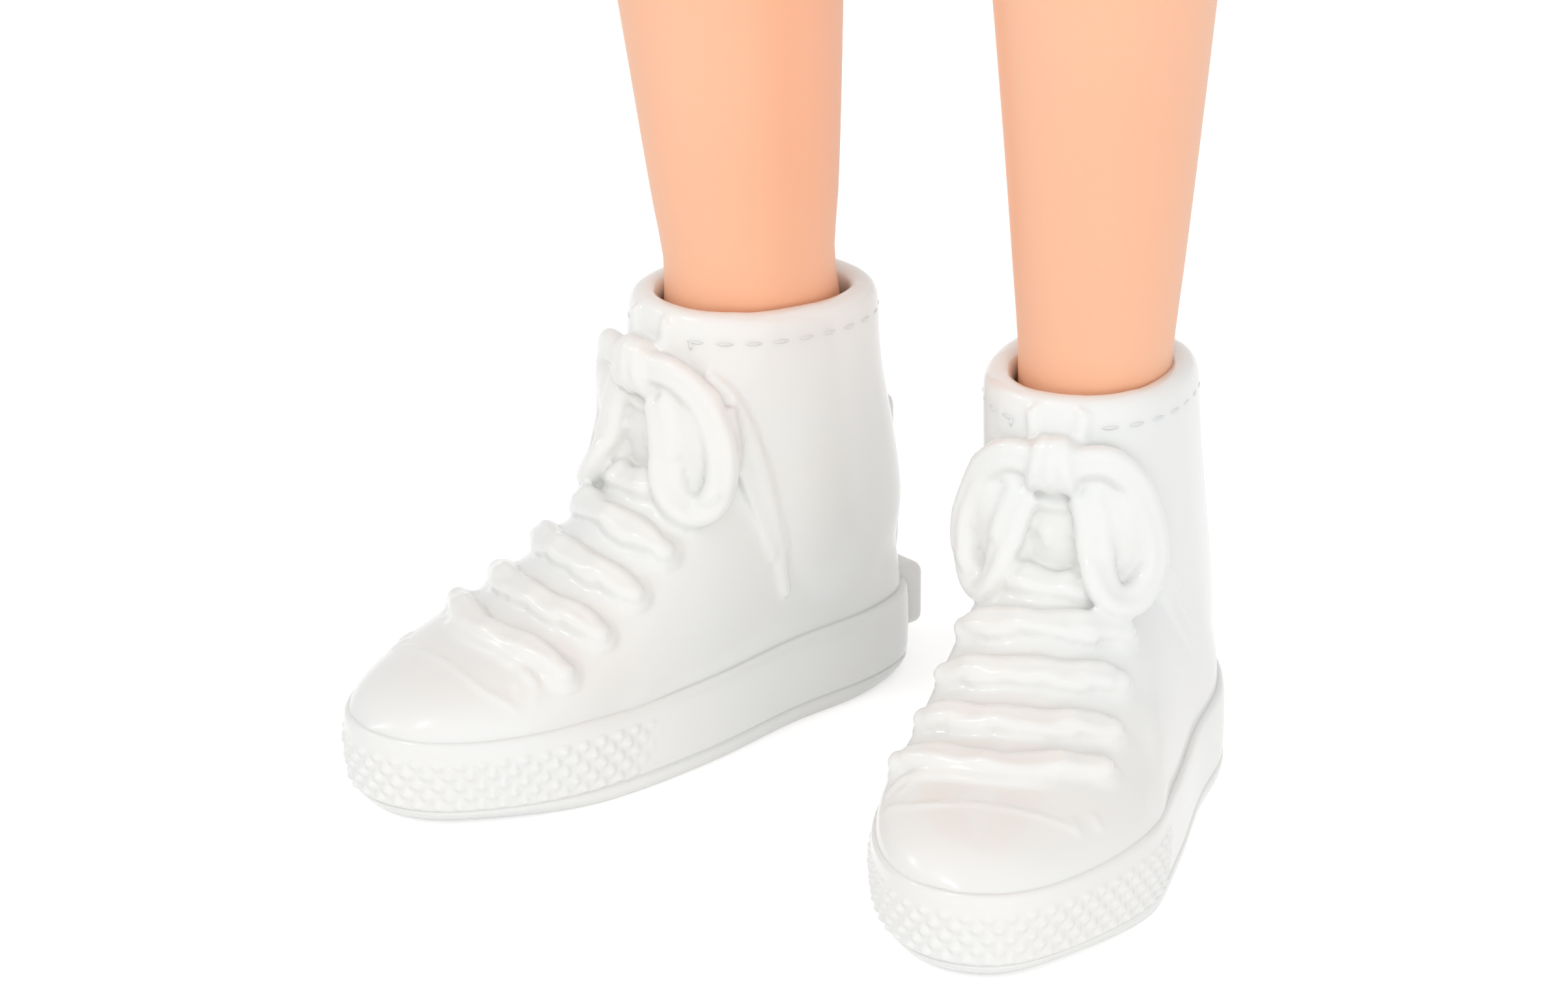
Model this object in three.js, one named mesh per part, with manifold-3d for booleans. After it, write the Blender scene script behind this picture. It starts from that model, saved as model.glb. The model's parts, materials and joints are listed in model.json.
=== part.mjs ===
// A fashion doll in moulded high-top sneakers, in millimetres, +Z up.
// The doll faces -Y and stands on the plane z = 0. Its left side is +X, and its right side mirrors it.
import * as THREE from "three";
import { mergeVertices } from "three/addons/utils/BufferGeometryUtils.js";
import Module from "manifold-3d";

const wasm = await Module();
wasm.setup();

// Driving dimensions, in millimetres and degrees.
const ANKLE_X = 9.4; // from the doll's middle to each ankle
const HIP_X = 11.5; // from the middle to each hip's centre
const HIP_Z = 154; // height of the hip axle
const BODY_Y = -6.5; // the body's own axis, forward of the ankles
const TOE_OUT = 16; // how far each foot turns out
const SHOULDER = new THREE.Vector3(24.2, BODY_Y, 233);
const ARM_SPREAD = 8; // how far each arm hangs away from the body
const SHELL = 1.4; // wall of the body's moulded halves
const VINYL = 1.6; // wall of the soft head
const GAP = 0.3; // clearance between touching pieces
const CENTRE_Y = 3.849; // what puts the middle of the whole doll's depth on y = 0
const FAR = 60; // past the doll's body on every side

// Heights and thicknesses of the clothes.
const CLOTH = 0.9;
const SHORTS_HEM = 127;
const WAISTBAND = [181.5, 187];
const TOP_EDGE = 244;

// Heights of the sneaker's parts.
const BAND_HEIGHT = 4.4;
const COLLAR_HEIGHT = 21.3;
const TOE_CAP_BACK = -15; // where the smooth toe cap ends and the lacing starts

const rad = THREE.MathUtils.degToRad;
const signedPower = (value, power) => Math.sign(value) * Math.abs(value) ** power;
const smooth = (value, low, high) => THREE.MathUtils.smoothstep(value, low, high);

// A closed tube through rings of equal count, capped at both ends, with its faces pointing out.
function loft(rings) {
  const sides = rings[0].length;
  const points = rings.flat();
  const faces = [];
  for (let r = 0; r + 1 < rings.length; r++)
    for (let k = 0; k < sides; k++) {
      const next = (k + 1) % sides;
      const [a, b, c, d] = [r * sides + k, r * sides + next, (r + 1) * sides + next, (r + 1) * sides + k];
      faces.push([a, b, c], [a, c, d]);
    }
  const cap = (ring, start, order) => {
    const middle = ring.reduce((sum, p) => sum.add(p), new THREE.Vector3()).divideScalar(sides);
    points.push(middle);
    for (let k = 0; k < sides; k++) {
      const edge = [start + k, start + ((k + 1) % sides)];
      faces.push(order > 0 ? [points.length - 1, edge[0], edge[1]] : [points.length - 1, edge[1], edge[0]]);
    }
  };
  cap(rings[0], 0, -1);
  cap(rings[rings.length - 1], (rings.length - 1) * sides, 1);
  const volume = faces.reduce(
    (sum, [a, b, c]) => sum + points[a].dot(new THREE.Vector3().crossVectors(points[b], points[c])),
    0,
  );
  const order = volume < 0 ? faces.map(([a, b, c]) => [a, c, b]) : faces;
  return new THREE.BufferGeometry().setFromPoints(points).setIndex(order.flat());
}

// A closed geometry as a solid that can be joined and cut.
function solid(geometry) {
  const bare = geometry.index ? geometry.toNonIndexed() : geometry.clone();
  for (const name of Object.keys(bare.attributes)) if (name !== "position") bare.deleteAttribute(name);
  const merged = mergeVertices(bare, 1e-4);
  return new wasm.Manifold(
    new wasm.Mesh({
      numProp: 3,
      vertProperties: merged.attributes.position.array,
      triVerts: new Uint32Array(merged.index.array),
    }),
  );
}

function geometryOf(made) {
  const mesh = made.getMesh();
  const geometry = new THREE.BufferGeometry();
  geometry.setAttribute("position", new THREE.BufferAttribute(new Float32Array(mesh.vertProperties), 3));
  return geometry.setIndex(new THREE.BufferAttribute(new Uint32Array(mesh.triVerts), 1));
}

const moved = (geometry, x, y, z) => geometry.clone().translate(x, y, z);

function box(low, high) {
  const size = high.map((value, k) => value - low[k]);
  return solid(moved(new THREE.BoxGeometry(...size), ...low.map((value, k) => value + size[k] / 2)));
}

// A cylinder along X between two places, at height z and depth y.
function rodAlongX(from, to, radius, y, z, sides = 24) {
  const rod = new THREE.CylinderGeometry(radius, radius, to - from, sides).rotateZ(Math.PI / 2);
  return moved(rod, (from + to) / 2, y, z);
}

// A cylinder standing on end between two heights.
function upright(radius, low, high, x, y, sides = 16) {
  const rod = new THREE.CylinderGeometry(radius, radius, high - low, sides).rotateX(Math.PI / 2);
  return moved(rod, x, y, (low + high) / 2);
}

function ellipsoid(x, y, z, rx, ry, rz, across = 12, down = 8) {
  return moved(new THREE.SphereGeometry(1, across, down).rotateX(Math.PI / 2).scale(rx, ry, rz), x, y, z);
}

// A round cord that follows points, open or closed on itself.
function cord(points, radius, steps, sides = 6, closed = false) {
  const section = new THREE.Shape(
    Array.from({ length: sides }, (_, k) => {
      const turn = (2 * Math.PI * k) / sides;
      return new THREE.Vector2(radius * Math.cos(turn), radius * Math.sin(turn));
    }),
  );
  const path = new THREE.CatmullRomCurve3(points.map((p) => new THREE.Vector3(...p)), closed);
  return new THREE.ExtrudeGeometry(section, { extrudePath: path, steps, bevelEnabled: false });
}

// One level section: a superellipse with its own depth forward and back, turned by yaw about its centre.
function ring({ z, x = 0, y = 0, half, front, back, power = 2, yaw = 0 }, sides, grow = 0, shape = null) {
  return Array.from({ length: sides }, (_, k) => {
    const turn = (2 * Math.PI * k) / sides;
    const depth = Math.sin(turn) > 0 ? back : front;
    const out = typeof grow === "function" ? grow(turn) : grow;
    const bump = shape ? shape(turn, z) : 0;
    const across = signedPower(Math.cos(turn), 2 / power) * (half + out);
    const deep = signedPower(Math.sin(turn), 2 / power) * (depth + out) - bump;
    const [c, s] = [Math.cos(yaw), Math.sin(yaw)];
    return new THREE.Vector3(x + across * c - deep * s, y + across * s + deep * c, z);
  });
}

// The body: rows of height, half width, depth forward and depth back.
const BODY_ROWS = [
  [141, 3.4, 3.4, 3.8],
  [143, 4.6, 7.4, 7.8],
  [147, 8, 10.4, 10.9],
  [150.5, 14, 11.4, 12.3],
  [154, 18.5, 11.7, 13.5],
  [160, 20.4, 11.5, 14.8],
  [167, 20.6, 11.6, 14.6],
  [174, 18.8, 11.2, 12.8],
  [181, 16.2, 10.3, 10.6],
  [188, 14.6, 9.7, 9.2],
  [195, 14.8, 9.9, 8.9],
  [203, 16.2, 10.6, 9.2],
  [210, 17.4, 11.6, 9.6],
  [216, 18.0, 12.2, 10.0],
  [222, 18.2, 11.8, 10.2],
  [228, 19.0, 10.6, 10.2],
  [234, 19.3, 8.8, 9.6],
  [238.5, 18.0, 7.2, 8.4],
  [242, 13.2, 6.0, 7.2],
  [245, 7.6, 5.2, 6.0],
  [248.5, 5.1, 4.8, 5.0],
  [256, 4.7, 4.6, 4.7],
];
const BUST = { z: 216.5, height: 7.4, turn: rad(32), width: rad(26), depth: 4.4 };

// How far the chest stands forward of its oval section.
function bust(turn, z) {
  const lift = Math.exp(-(((z - BUST.z) / BUST.height) ** 2));
  const side = [-1, 1].reduce(
    (sum, s) => sum + Math.exp(-(((turn - (1.5 * Math.PI + s * BUST.turn)) / BUST.width) ** 2)),
    0,
  );
  return BUST.depth * lift * Math.min(side, 1);
}

const bodyRow = ([z, half, front, back]) => ({ z, half, front, back, y: BODY_Y, power: 2.2 });

// The body's form between two heights, grown by a thickness.
function bodyForm(low, high, grow, sides = 20) {
  const between = (z) => {
    const above = BODY_ROWS.findIndex((row) => row[0] >= z);
    const [a, b] = [BODY_ROWS[Math.max(above - 1, 0)], BODY_ROWS[above]];
    const share = a[0] === b[0] ? 0 : (z - a[0]) / (b[0] - a[0]);
    return a.map((value, k) => (k ? THREE.MathUtils.lerp(value, b[k], share) : z));
  };
  const inside = BODY_ROWS.filter((row) => row[0] > low + 0.5 && row[0] < high - 0.5);
  return loft([between(low), ...inside, between(high)].map((row) => ring(bodyRow(row), sides, grow, bust)));
}

const hipSeat = (radius, from, to) => solid(rodAlongX(from, to, radius, BODY_Y, HIP_Z, 32));
const HIP_SEAT = 12.4; // room for a thigh and its cloth to swing
const CROTCH_HALF = 3.0;
const CROTCH_Z = 142.5;
const CROTCH_REACH = 15.7; // what the thighs' inner faces leave free round the crotch and its cloth
const AXLE_RADIUS = 1.6;
const AXLE_HALF = 9.2; // half the hip axle's length
const ARM_HOLE = 2.7;
const NECK_TOP = 256;
const KNOB_RADIUS = 2.6;
const KNOB_BASE = 250.2;
const BODY_HOLLOW = [169, 241];

// The room that the thighs need beside the crotch: round the axle, below it, and in front for a raised thigh.
function hipRoom() {
  return [-1, 1].flatMap((side) => {
    const [from, to] = side > 0 ? [CROTCH_HALF, FAR] : [-FAR, -CROTCH_HALF];
    return [
      hipSeat(HIP_SEAT, from, to),
      box([from, -FAR, SHORTS_HEM], [to, BODY_Y, HIP_Z + HIP_SEAT]),
      box([from, -FAR, SHORTS_HEM], [to, FAR, HIP_Z]),
    ];
  });
}

function bodyShell() {
  const hollow = solid(bodyForm(...BODY_HOLLOW, -SHELL, 16));
  const holes = [
    ...hipRoom(),
    hipSeat(AXLE_RADIUS + GAP, -5, 5),
    solid(rodAlongX(-FAR, FAR, ARM_HOLE, SHOULDER.y, SHOULDER.z)),
    solid(upright(KNOB_RADIUS + GAP, BODY_HOLLOW[1] - 2, NECK_TOP + 3, 0, BODY_Y, 20)),
  ];
  const body = solid(bodyForm(CROTCH_Z, NECK_TOP, 0)).subtract(hollow);
  return holes.reduce((made, hole) => made.subtract(hole), body);
}

// The head, as a distance from its middle in any direction, so that one formula gives skin, wall and hair.
const HEAD = new THREE.Vector3(0, BODY_Y - 1, 272.5);
const SKULL = { centre: [0, BODY_Y + 2.2, 278], radii: [14.6, 16.6, 16] };
const FACE = { centre: [0, BODY_Y - 4.6, 268.4], radii: [11.8, 11.6, 13.2] };

function reach(direction, { centre, radii }) {
  const scaled = direction.clone().divide(new THREE.Vector3(...radii));
  const from = HEAD.clone().sub(new THREE.Vector3(...centre)).divide(new THREE.Vector3(...radii));
  const [a, b, c] = [scaled.dot(scaled), scaled.dot(from), from.dot(from) - 1];
  return (-b + Math.sqrt(b * b - a * c)) / a;
}

const HEAD_MESH = [20, 14];
const NOSE = { height: 268.8, width: 1.5, tall: 3.2, depth: 1.5 };

function headRadius(direction, features) {
  const [skull, face] = [reach(direction, SKULL), reach(direction, FACE)];
  const blend = 1.4;
  const joined = blend * Math.log(Math.exp(skull / blend) + Math.exp(face / blend));
  if (!features || direction.y > 0) return joined;
  const at = HEAD.clone().addScaledVector(direction, joined);
  const away = (at.x / NOSE.width) ** 2 + ((at.z - NOSE.height) / NOSE.tall) ** 2;
  return joined + NOSE.depth * Math.exp(-away);
}

function headForm(grow, across, down, features = false) {
  const sphere = new THREE.SphereGeometry(1, across, down).rotateX(Math.PI / 2);
  const place = sphere.attributes.position;
  for (let k = 0; k < place.count; k++) {
    const direction = new THREE.Vector3().fromBufferAttribute(place, k).normalize();
    const point = HEAD.clone().addScaledVector(direction, headRadius(direction, features) + grow);
    place.setXYZ(k, point.x, point.y, point.z);
  }
  return sphere;
}

const EAR = { x: 14.6, y: BODY_Y + 0.6, z: 270.6, radii: [1.3, 2.5, 3.9] };
// The head's socket round the neck's knob: a boss under the skull with a lip that the knob's head rests on.
const SOCKET = { outside: 6.6, inside: 5.2, lip: 258.4, top: 262 };

function headSolid() {
  const ears = [-1, 1].map((side) => solid(ellipsoid(side * EAR.x, EAR.y, EAR.z, ...EAR.radii)));
  const cuts = [
    solid(headForm(-VINYL, 14, 10)),
    solid(upright(KNOB_RADIUS + 0.5, KNOB_BASE, SOCKET.top, 0, BODY_Y)),
    solid(upright(SOCKET.inside, SOCKET.lip, SOCKET.top + 6, 0, BODY_Y)),
    solid(upright(SOCKET.outside + 2, KNOB_BASE, NECK_TOP + GAP, 0, BODY_Y)),
  ];
  const socket = solid(upright(SOCKET.outside, NECK_TOP, SOCKET.top, 0, BODY_Y));
  const bare = solid(headForm(0, ...HEAD_MESH, true));
  const skin = [...ears, socket].reduce((made, part) => made.add(part), bare);
  return cuts.reduce((made, cut) => made.subtract(cut), skin);
}

// The neck's mushroom knob, which holds the head on and lets it turn.
function neckKnob() {
  const outline = [
    [0, KNOB_BASE], [KNOB_RADIUS, KNOB_BASE], [KNOB_RADIUS, 259.6],
    [4.6, 260.2], [4.6, 261.4], [2.6, 263.6], [0, 264.2],
  ].map(([r, z]) => new THREE.Vector2(r, z));
  return moved(new THREE.LatheGeometry(outline, 20).rotateX(Math.PI / 2), 0, BODY_Y, 0);
}

// Hair pulled back from the face into a knot, which stands off the head along a line that leans back.
const KNOT_LEAN = rad(40);
const KNOT = { from: 22.5, waist: 3, waistEnd: 27.5, middle: 30.4, across: 6, along: 4.8 };
const TIE = { along: 25.6, around: 3.9, thickness: 0.7 };

// A form on the upright axis, moved to the head's middle and leaned back with the knot.
const leaned = (geometry) => geometry.clone().rotateX(-KNOT_LEAN).translate(HEAD.x, HEAD.y, HEAD.z);

// What hair leaves bare, seen from the side: the forehead, the temple, round the ear and down to the nape.
const HAIRLINE = [
  [-60, 288], [-12.5, 287], [-9.5, 282], [-6, 276], [-4, 270],
  [-1, 265.5], [5, 262.5], [11, 260], [11, 240], [-60, 240],
];

function hairSolid() {
  const face = new THREE.ExtrudeGeometry(
    new THREE.Shape(HAIRLINE.map(([y, z]) => new THREE.Vector2(y + BODY_Y, z))),
    { depth: FAR, bevelEnabled: false },
  ).applyMatrix4(new THREE.Matrix4().set(0, 0, 1, -FAR / 2, 1, 0, 0, 0, 0, 1, 0, 0, 0, 0, 0, 1));
  const cuts = [
    solid(headForm(GAP + 0.05, ...HEAD_MESH)),
    solid(face),
    solid(upright(SOCKET.outside + GAP, KNOB_BASE, SOCKET.top + 0.4, 0, BODY_Y)),
    ...[-1, 1].map((side) => solid(moved(ellipsoid(0, 0, 0, 4.5, 3.6, 5.4), side * EAR.x, EAR.y, EAR.z))),
  ];
  const cap = cuts.reduce((made, cut) => made.subtract(cut), solid(headForm(2.0, 20, 14)));
  const waist = solid(leaned(upright(KNOT.waist, KNOT.from, KNOT.waistEnd, 0, 0)));
  const knot = solid(leaned(ellipsoid(0, 0, KNOT.middle, KNOT.across, KNOT.across, KNOT.along, 16, 12)));
  return cap.add(waist).add(knot);
}

function hairTie() {
  return leaned(new THREE.TorusGeometry(TIE.around, TIE.thickness, 6, 16).translate(0, 0, TIE.along));
}

// An arm hanging from its shoulder: rows of height below it, forward offset, half thickness and half depth.
const ARM_ROWS = [
  [4.4, 0, 1.8, 2.0], [3.4, 0, 3.4, 3.7], [1.6, 0, 4.4, 4.8], [-2, 0, 4.6, 5.1], [-7, 0, 4.4, 4.9],
  [-14, 0, 4.0, 4.4], [-24, 0.1, 3.7, 4.0], [-33, 0, 3.4, 3.7], [-38, -0.2, 3.3, 3.6], [-43, -1.2, 3.4, 3.8],
  [-50, -3.2, 3.3, 3.7], [-59, -5.8, 2.7, 3.2], [-67, -8.0, 2.1, 2.7], [-71, -9.1, 1.9, 2.6],
  [-75, -10.1, 1.7, 3.4], [-79, -11.1, 1.6, 3.9], [-81.5, -11.7, 1.4, 3.7],
];
const KNUCKLES = { z: -80.5, y: -11.4 };
// Each finger: where it starts along the hand's width, its length and its radius.
const FINGERS = [[-2.9, 7.6, 0.95], [-0.9, 8.8, 1.0], [1.1, 8.2, 0.95], [2.9, 6.4, 0.85]];

function armSolid() {
  const rows = ARM_ROWS.map(([z, y, half, depth]) => ring({ z, y, half, front: depth, back: depth }, 12));
  const limb = solid(loft(rows));
  const fingers = FINGERS.map(([across, length, radius]) =>
    solid(cord([
      [0, KNUCKLES.y + across, KNUCKLES.z + 1],
      [-0.1, KNUCKLES.y + across * 1.05 - length * 0.3, KNUCKLES.z - length * 0.55],
      [-0.9, KNUCKLES.y + across - length * 0.48, KNUCKLES.z - length],
    ], radius, 3, 6)),
  );
  const thumb = solid(cord([[-0.6, -11.6, -73.5], [-1.8, -14.4, -77], [-2.2, -16.2, -80.5]], 1.0, 3, 6));
  const hanging = [...fingers, thumb].reduce((made, finger) => made.add(finger), limb);
  const placed = solid(
    geometryOf(hanging).rotateY(rad(-ARM_SPREAD)).translate(SHOULDER.x, SHOULDER.y, SHOULDER.z),
  );
  const peg = solid(rodAlongX(15.4, SHOULDER.x, ARM_HOLE - GAP, SHOULDER.y, SHOULDER.z, 16));
  const flange = solid(rodAlongX(14.2, 15.6, ARM_HOLE + 0.7, SHOULDER.y, SHOULDER.z, 16));
  return placed.add(peg).add(flange);
}

// A leg with its foot: rows of height, half width, depth forward and depth back.
const LEG_ROWS = [
  [3.0, 2.8, 14.4, 4.2],
  [4.4, 3.6, 15.6, 5.2],
  [6.2, 3.6, 14.2, 5.4],
  [8.2, 3.4, 10.8, 5.3],
  [10.4, 3.3, 7.6, 5.1],
  [13, 3.3, 5.4, 4.8],
  [16.5, 3.35, 4.3, 4.3],
  [20.5, 3.5, 4.1, 4.3],
  [26, 3.9, 4.6, 5.1],
  [32.5, 4.45, 5.1, 5.8],
  [40, 5.1, 5.7, 6.4],
  [49, 5.9, 6.1, 7.2],
  [59, 6.7, 6.6, 8.2],
  [68, 6.9, 6.8, 8.1],
  [76, 6.7, 7.1, 7.2],
  [83, 6.8, 7.5, 6.8],
  [91, 7.1, 7.3, 7.0],
  [103, 7.9, 7.8, 7.8],
  [118, 8.8, 8.7, 8.9],
  [132, 9.5, 9.5, 9.9],
  [144, 9.7, 10.0, 10.5],
  [154, 9.5, 10.2, 10.6],
  [159, 9.4, 9.0, 9.4],
  [162, 8.7, 6.6, 6.9],
  [163.6, 7.4, 4.0, 4.2],
  [164.3, 5.4, 1.8, 2.0],
];

const legYaw = (z) => rad(TOE_OUT) * (1 - smooth(z, 60, 145));
// How far up from the ankle to the hip, from 0 to 1, and the leg's lean outwards and forwards on the way.
const climb = (z) => THREE.MathUtils.clamp((z - 18) / (HIP_Z - 18), 0, 1);
const legX = (z) => THREE.MathUtils.lerp(ANKLE_X, HIP_X, 1 - (1 - climb(z)) ** 4);
const legY = (z) => BODY_Y * (1 - (1 - climb(z)) ** 1.4);
const legRow = ([z, half, front, back]) => ({ z, half, front, back, x: legX(z), y: legY(z), yaw: legYaw(z) });

function legSolid() {
  const inner = hipSeat(CROTCH_REACH, -5, CROTCH_HALF + GAP);
  const bore = hipSeat(AXLE_RADIUS + GAP, 0, AXLE_HALF + 0.4);
  return solid(loft(LEG_ROWS.map((row) => ring(legRow(row), 20)))).subtract(inner).subtract(bore);
}

// The sneaker for the left foot, with its ankle over the origin and its toe towards -Y.
const SOLE_OUTLINE = [
  [0.2, 8.1], [-2.9, 7.1], [-4.7, 4], [-4.9, -1.4], [-5.1, -7.4], [-5.5, -13], [-5.0, -18.2], [-3.3, -22],
  [-0.6, -23.9], [2.6, -23.2], [5.4, -20], [6.9, -14.8], [6.8, -9], [6.4, -3], [5.8, 2.4], [3.7, 6.7],
];
// The upper along the foot: place, half width outside, half width inside, height and squareness.
const VAMP_ROWS = [
  [4.2, 5.1, 4.5, 12.4, 2.4],
  [0, 5.5, 4.9, 15.6, 2.2],
  [-4, 5.8, 5.1, 15.2, 2.0],
  [-7, 6.0, 5.3, 13.6, 2.0],
  [-9.6, 6.1, 5.4, 11.9, 2.0],
  [-12.2, 6.2, 5.4, 10.2, 2.1],
  [-15, 6.2, 5.3, 8.9, 2.2],
  [-17.8, 5.7, 4.8, 8.0, 2.3],
  [-20.4, 4.6, 4.0, 7.0, 2.3],
  [-22.3, 2.9, 2.7, 6.0, 2.2],
  [-23.3, 1.5, 1.7, 5.0, 2.0],
];
// The ankle of the upper: height, centre across and along, half width, depth forward and depth back.
const SHAFT_ROWS = [
  [2.5, 0.3, 0.7, 5.1, 6, 7.2],
  [5.5, 0.3, 0.6, 5.1, 6, 7.3],
  [9, 0.25, 0.5, 5.1, 6.2, 7.1],
  [13, 0.15, 0.3, 5.0, 6.6, 6.8],
  [17, 0, 0, 4.95, 6.8, 6.4],
  [COLLAR_HEIGHT, -0.05, -0.1, 4.95, 6.7, 6.4],
];
const COLLAR_RISE = 0.07; // how much higher the collar stands in front, for each millimetre forward
// Each lace bar: where its ends lie along the foot, and half its width.
const LACE_ROWS = [[-15.1, 4.5], [-12.6, 4.15], [-10.2, 3.8], [-7.9, 3.5]];
const LACE_MIDDLE = 0.3; // the lacing leans to the outer side
const LACE_BOW = 1.3; // how far forward each bar's middle lies
const LACE_RADIUS = 0.6;
// One loop of the bow, from the knot round and back.
const BOW_LOOP = [
  [0.7, -7.7, 17.9], [2.5, -7.2, 17.6], [4.2, -5.9, 16.0], [4.7, -5.4, 13.6],
  [4.1, -6.4, 12.0], [2.9, -7.5, 12.2], [1.8, -7.8, 14.4],
];

// The height of the vamp at a place along the foot and across it.
function vampHeight(x, y) {
  const next = VAMP_ROWS.findIndex((row) => row[0] <= y);
  const [a, b] = [VAMP_ROWS[next - 1], VAMP_ROWS[next]];
  const share = (y - a[0]) / (b[0] - a[0]);
  const [, outside, inside, height, power] = a.map((value, k) => THREE.MathUtils.lerp(value, b[k], share));
  const across = Math.min(Math.abs(x) / (x > 0 ? outside : inside), 1);
  return 2 + (height - 2) * (1 - across ** power) ** (1 / power);
}

function soleSlab(grow, low, high) {
  const around = [...SOLE_OUTLINE, SOLE_OUTLINE[0]].map(([x, y]) => new THREE.Vector2(x, y));
  const outline = new THREE.SplineCurve(around).getPoints(32).slice(0, -1).map((p, k, all) => {
    const [before, after] = [all[(k + 31) % 32], all[(k + 1) % 32]];
    const out = new THREE.Vector2(before.y - after.y, after.x - before.x).normalize();
    const inward = new THREE.Vector2(-p.x, -p.y - 7);
    return p.clone().addScaledVector(out, -grow * Math.sign(out.dot(inward)));
  });
  const slab = { depth: high - low, bevelEnabled: false };
  return solid(moved(new THREE.ExtrudeGeometry(new THREE.Shape(outline), slab), 0, 0, low));
}

function lacing() {
  const bars = LACE_ROWS.map(([y, half]) => {
    const across = [-1, -0.6, 0, 0.6, 1].map((share) => {
      const [x, place] = [LACE_MIDDLE + share * half, y - LACE_BOW * (1 - share * share)];
      return [x, place, vampHeight(x, place) + (Math.abs(share) === 1 ? -0.2 : 0.1)];
    });
    return solid(cord(across, LACE_RADIUS, 6, 6));
  });
  const loops = [-1, 1].map((side) =>
    solid(cord(BOW_LOOP.map(([x, y, z]) => [side * x, y, z]), LACE_RADIUS, 12, 6, true)),
  );
  const knot = solid(ellipsoid(0.1, -7.7, 18.2, 1.15, 1.1, 1.4, 10, 7));
  return [...bars, ...loops, knot];
}

// The shoe's own hollow: the foot's form with room around it, and a wider mouth at the collar.
function shoeHollow() {
  const room = 0.4;
  const foot = LEG_ROWS.filter(([z]) => z < 23).map(([z, half, front, back]) => ({ z, half, front, back }));
  const mouth = [[9, 0, 3.9, 5.4, 5.4], [15, 0.1, 4.0, 5.3, 5.3], [COLLAR_HEIGHT + 2, 0, 4.1, 5.6, 5.4]].map(
    ([z, y, half, front, back]) => ({ z, y, half, front, back }),
  );
  const opening = solid(loft(mouth.map((row) => ring(row, 16))));
  return solid(loft(foot.map((row) => ring(row, 16, room)))).add(opening);
}

function shoeSolid() {
  const arch = VAMP_ROWS.map(([y, outside, inside, height, power]) =>
    Array.from({ length: 15 }, (_, k) => {
      const turn = (Math.PI * k) / 14;
      const half = Math.cos(turn) > 0 ? outside : inside;
      const x = half * signedPower(Math.cos(turn), 2 / power) + (y < -18 ? 0.13 * (y + 18) : 0);
      return new THREE.Vector3(x, y, 2 + (height - 2) * signedPower(Math.sin(turn), 2 / power));
    }),
  );
  const shaft = SHAFT_ROWS.map(([z, x, y, half, front, back]) =>
    ring({ z, x, y, half, front, back, power: 2.2 }, 22),
  );
  for (const point of shaft[shaft.length - 1]) point.z -= COLLAR_RISE * point.y;
  const beforeCap = box([-FAR, -FAR, 0], [FAR, TOE_CAP_BACK, BAND_HEIGHT + 1]);
  const toe = soleSlab(0.3, 0.9, BAND_HEIGHT + 0.3).intersect(beforeCap);
  const heelPatch = box([-1.9, 7, 1.7], [1.9, 9.0, BAND_HEIGHT + 0.4]);
  const heelStrip = solid(ellipsoid(0, 6.2, 9.4, 1.5, 1.9, 5.4, 10, 8));
  const pieces = [solid(loft(arch)), solid(loft(shaft)), toe, heelPatch, heelStrip, ...lacing()];
  return pieces.reduce((made, piece) => made.add(piece), soleSlab(0, 0, BAND_HEIGHT)).subtract(shoeHollow());
}

// The clothes: each is a layer of cloth around the body or the thigh.
const clothOnBody = (low, high, inside, outside) =>
  solid(bodyForm(low, high, outside)).subtract(solid(bodyForm(low - 1e-3, high + 1e-3, inside)));

function tankTop() {
  const cloth = clothOnBody(WAISTBAND[1] + GAP, TOP_EDGE, GAP, GAP + CLOTH);
  const neckline = solid(ellipsoid(0, BODY_Y - 6, 243, 8.6, 14, 15, 20, 12));
  const backline = solid(ellipsoid(0, BODY_Y + 8, 245, 8.2, 12, 9, 20, 12));
  const armholes = [-1, 1].map((side) => solid(ellipsoid(side * 22, BODY_Y, 232.5, 8.2, 30, 10.6, 20, 12)));
  return [neckline, backline, ...armholes].reduce((made, cut) => made.subtract(cut), cloth);
}

// The strip down the middle of the back that closes the top.
const CLOSURE = { half: 1.7, low: 190, high: 232 };
const PATCH = 0.6; // thickness of a strip or pocket sewn on a garment

function backClosure() {
  const outside = GAP + CLOTH + GAP;
  const { half, low, high } = CLOSURE;
  const strip = box([-half, 0, low - 1], [half, FAR, high + 1]);
  return clothOnBody(low, high, outside, outside + PATCH).intersect(strip);
}

const YOKE_FIT = 1.1; // how loose the shorts sit on the body
const BAND_CLOTH = CLOTH + 0.5;

function shortsYoke() {
  const inside = solid(bodyForm(CROTCH_Z - GAP, WAISTBAND[0], YOKE_FIT));
  const outside = solid(bodyForm(CROTCH_Z - 1.5, WAISTBAND[0] - GAP, YOKE_FIT + CLOTH));
  return hipRoom().reduce((made, room) => made.subtract(room), outside.subtract(inside));
}

const waistband = () => clothOnBody(WAISTBAND[0], WAISTBAND[1], GAP, GAP + BAND_CLOTH);

const BUTTON = { radius: 1.35, thickness: 0.7, z: 184.2, waist: 10.2 };

function shortsButton() {
  const { radius, thickness, z, waist } = BUTTON;
  const disc = new THREE.CylinderGeometry(radius, radius, thickness, 18);
  return moved(disc, 0, BODY_Y - waist - GAP - BAND_CLOTH - GAP - thickness / 2, z);
}

// A pocket on the seat of the shorts: from side to side and from bottom to top.
const POCKET = { across: [4.2, 12.6], up: [167.5, 177.5] };

function backPocket() {
  const outside = YOKE_FIT + CLOTH + GAP;
  const { across, up } = POCKET;
  const cloth = clothOnBody(...up, outside, outside + PATCH);
  return cloth.intersect(box([across[0], 0, up[0] - 1], [across[1], FAR, up[1] + 1]));
}

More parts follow.
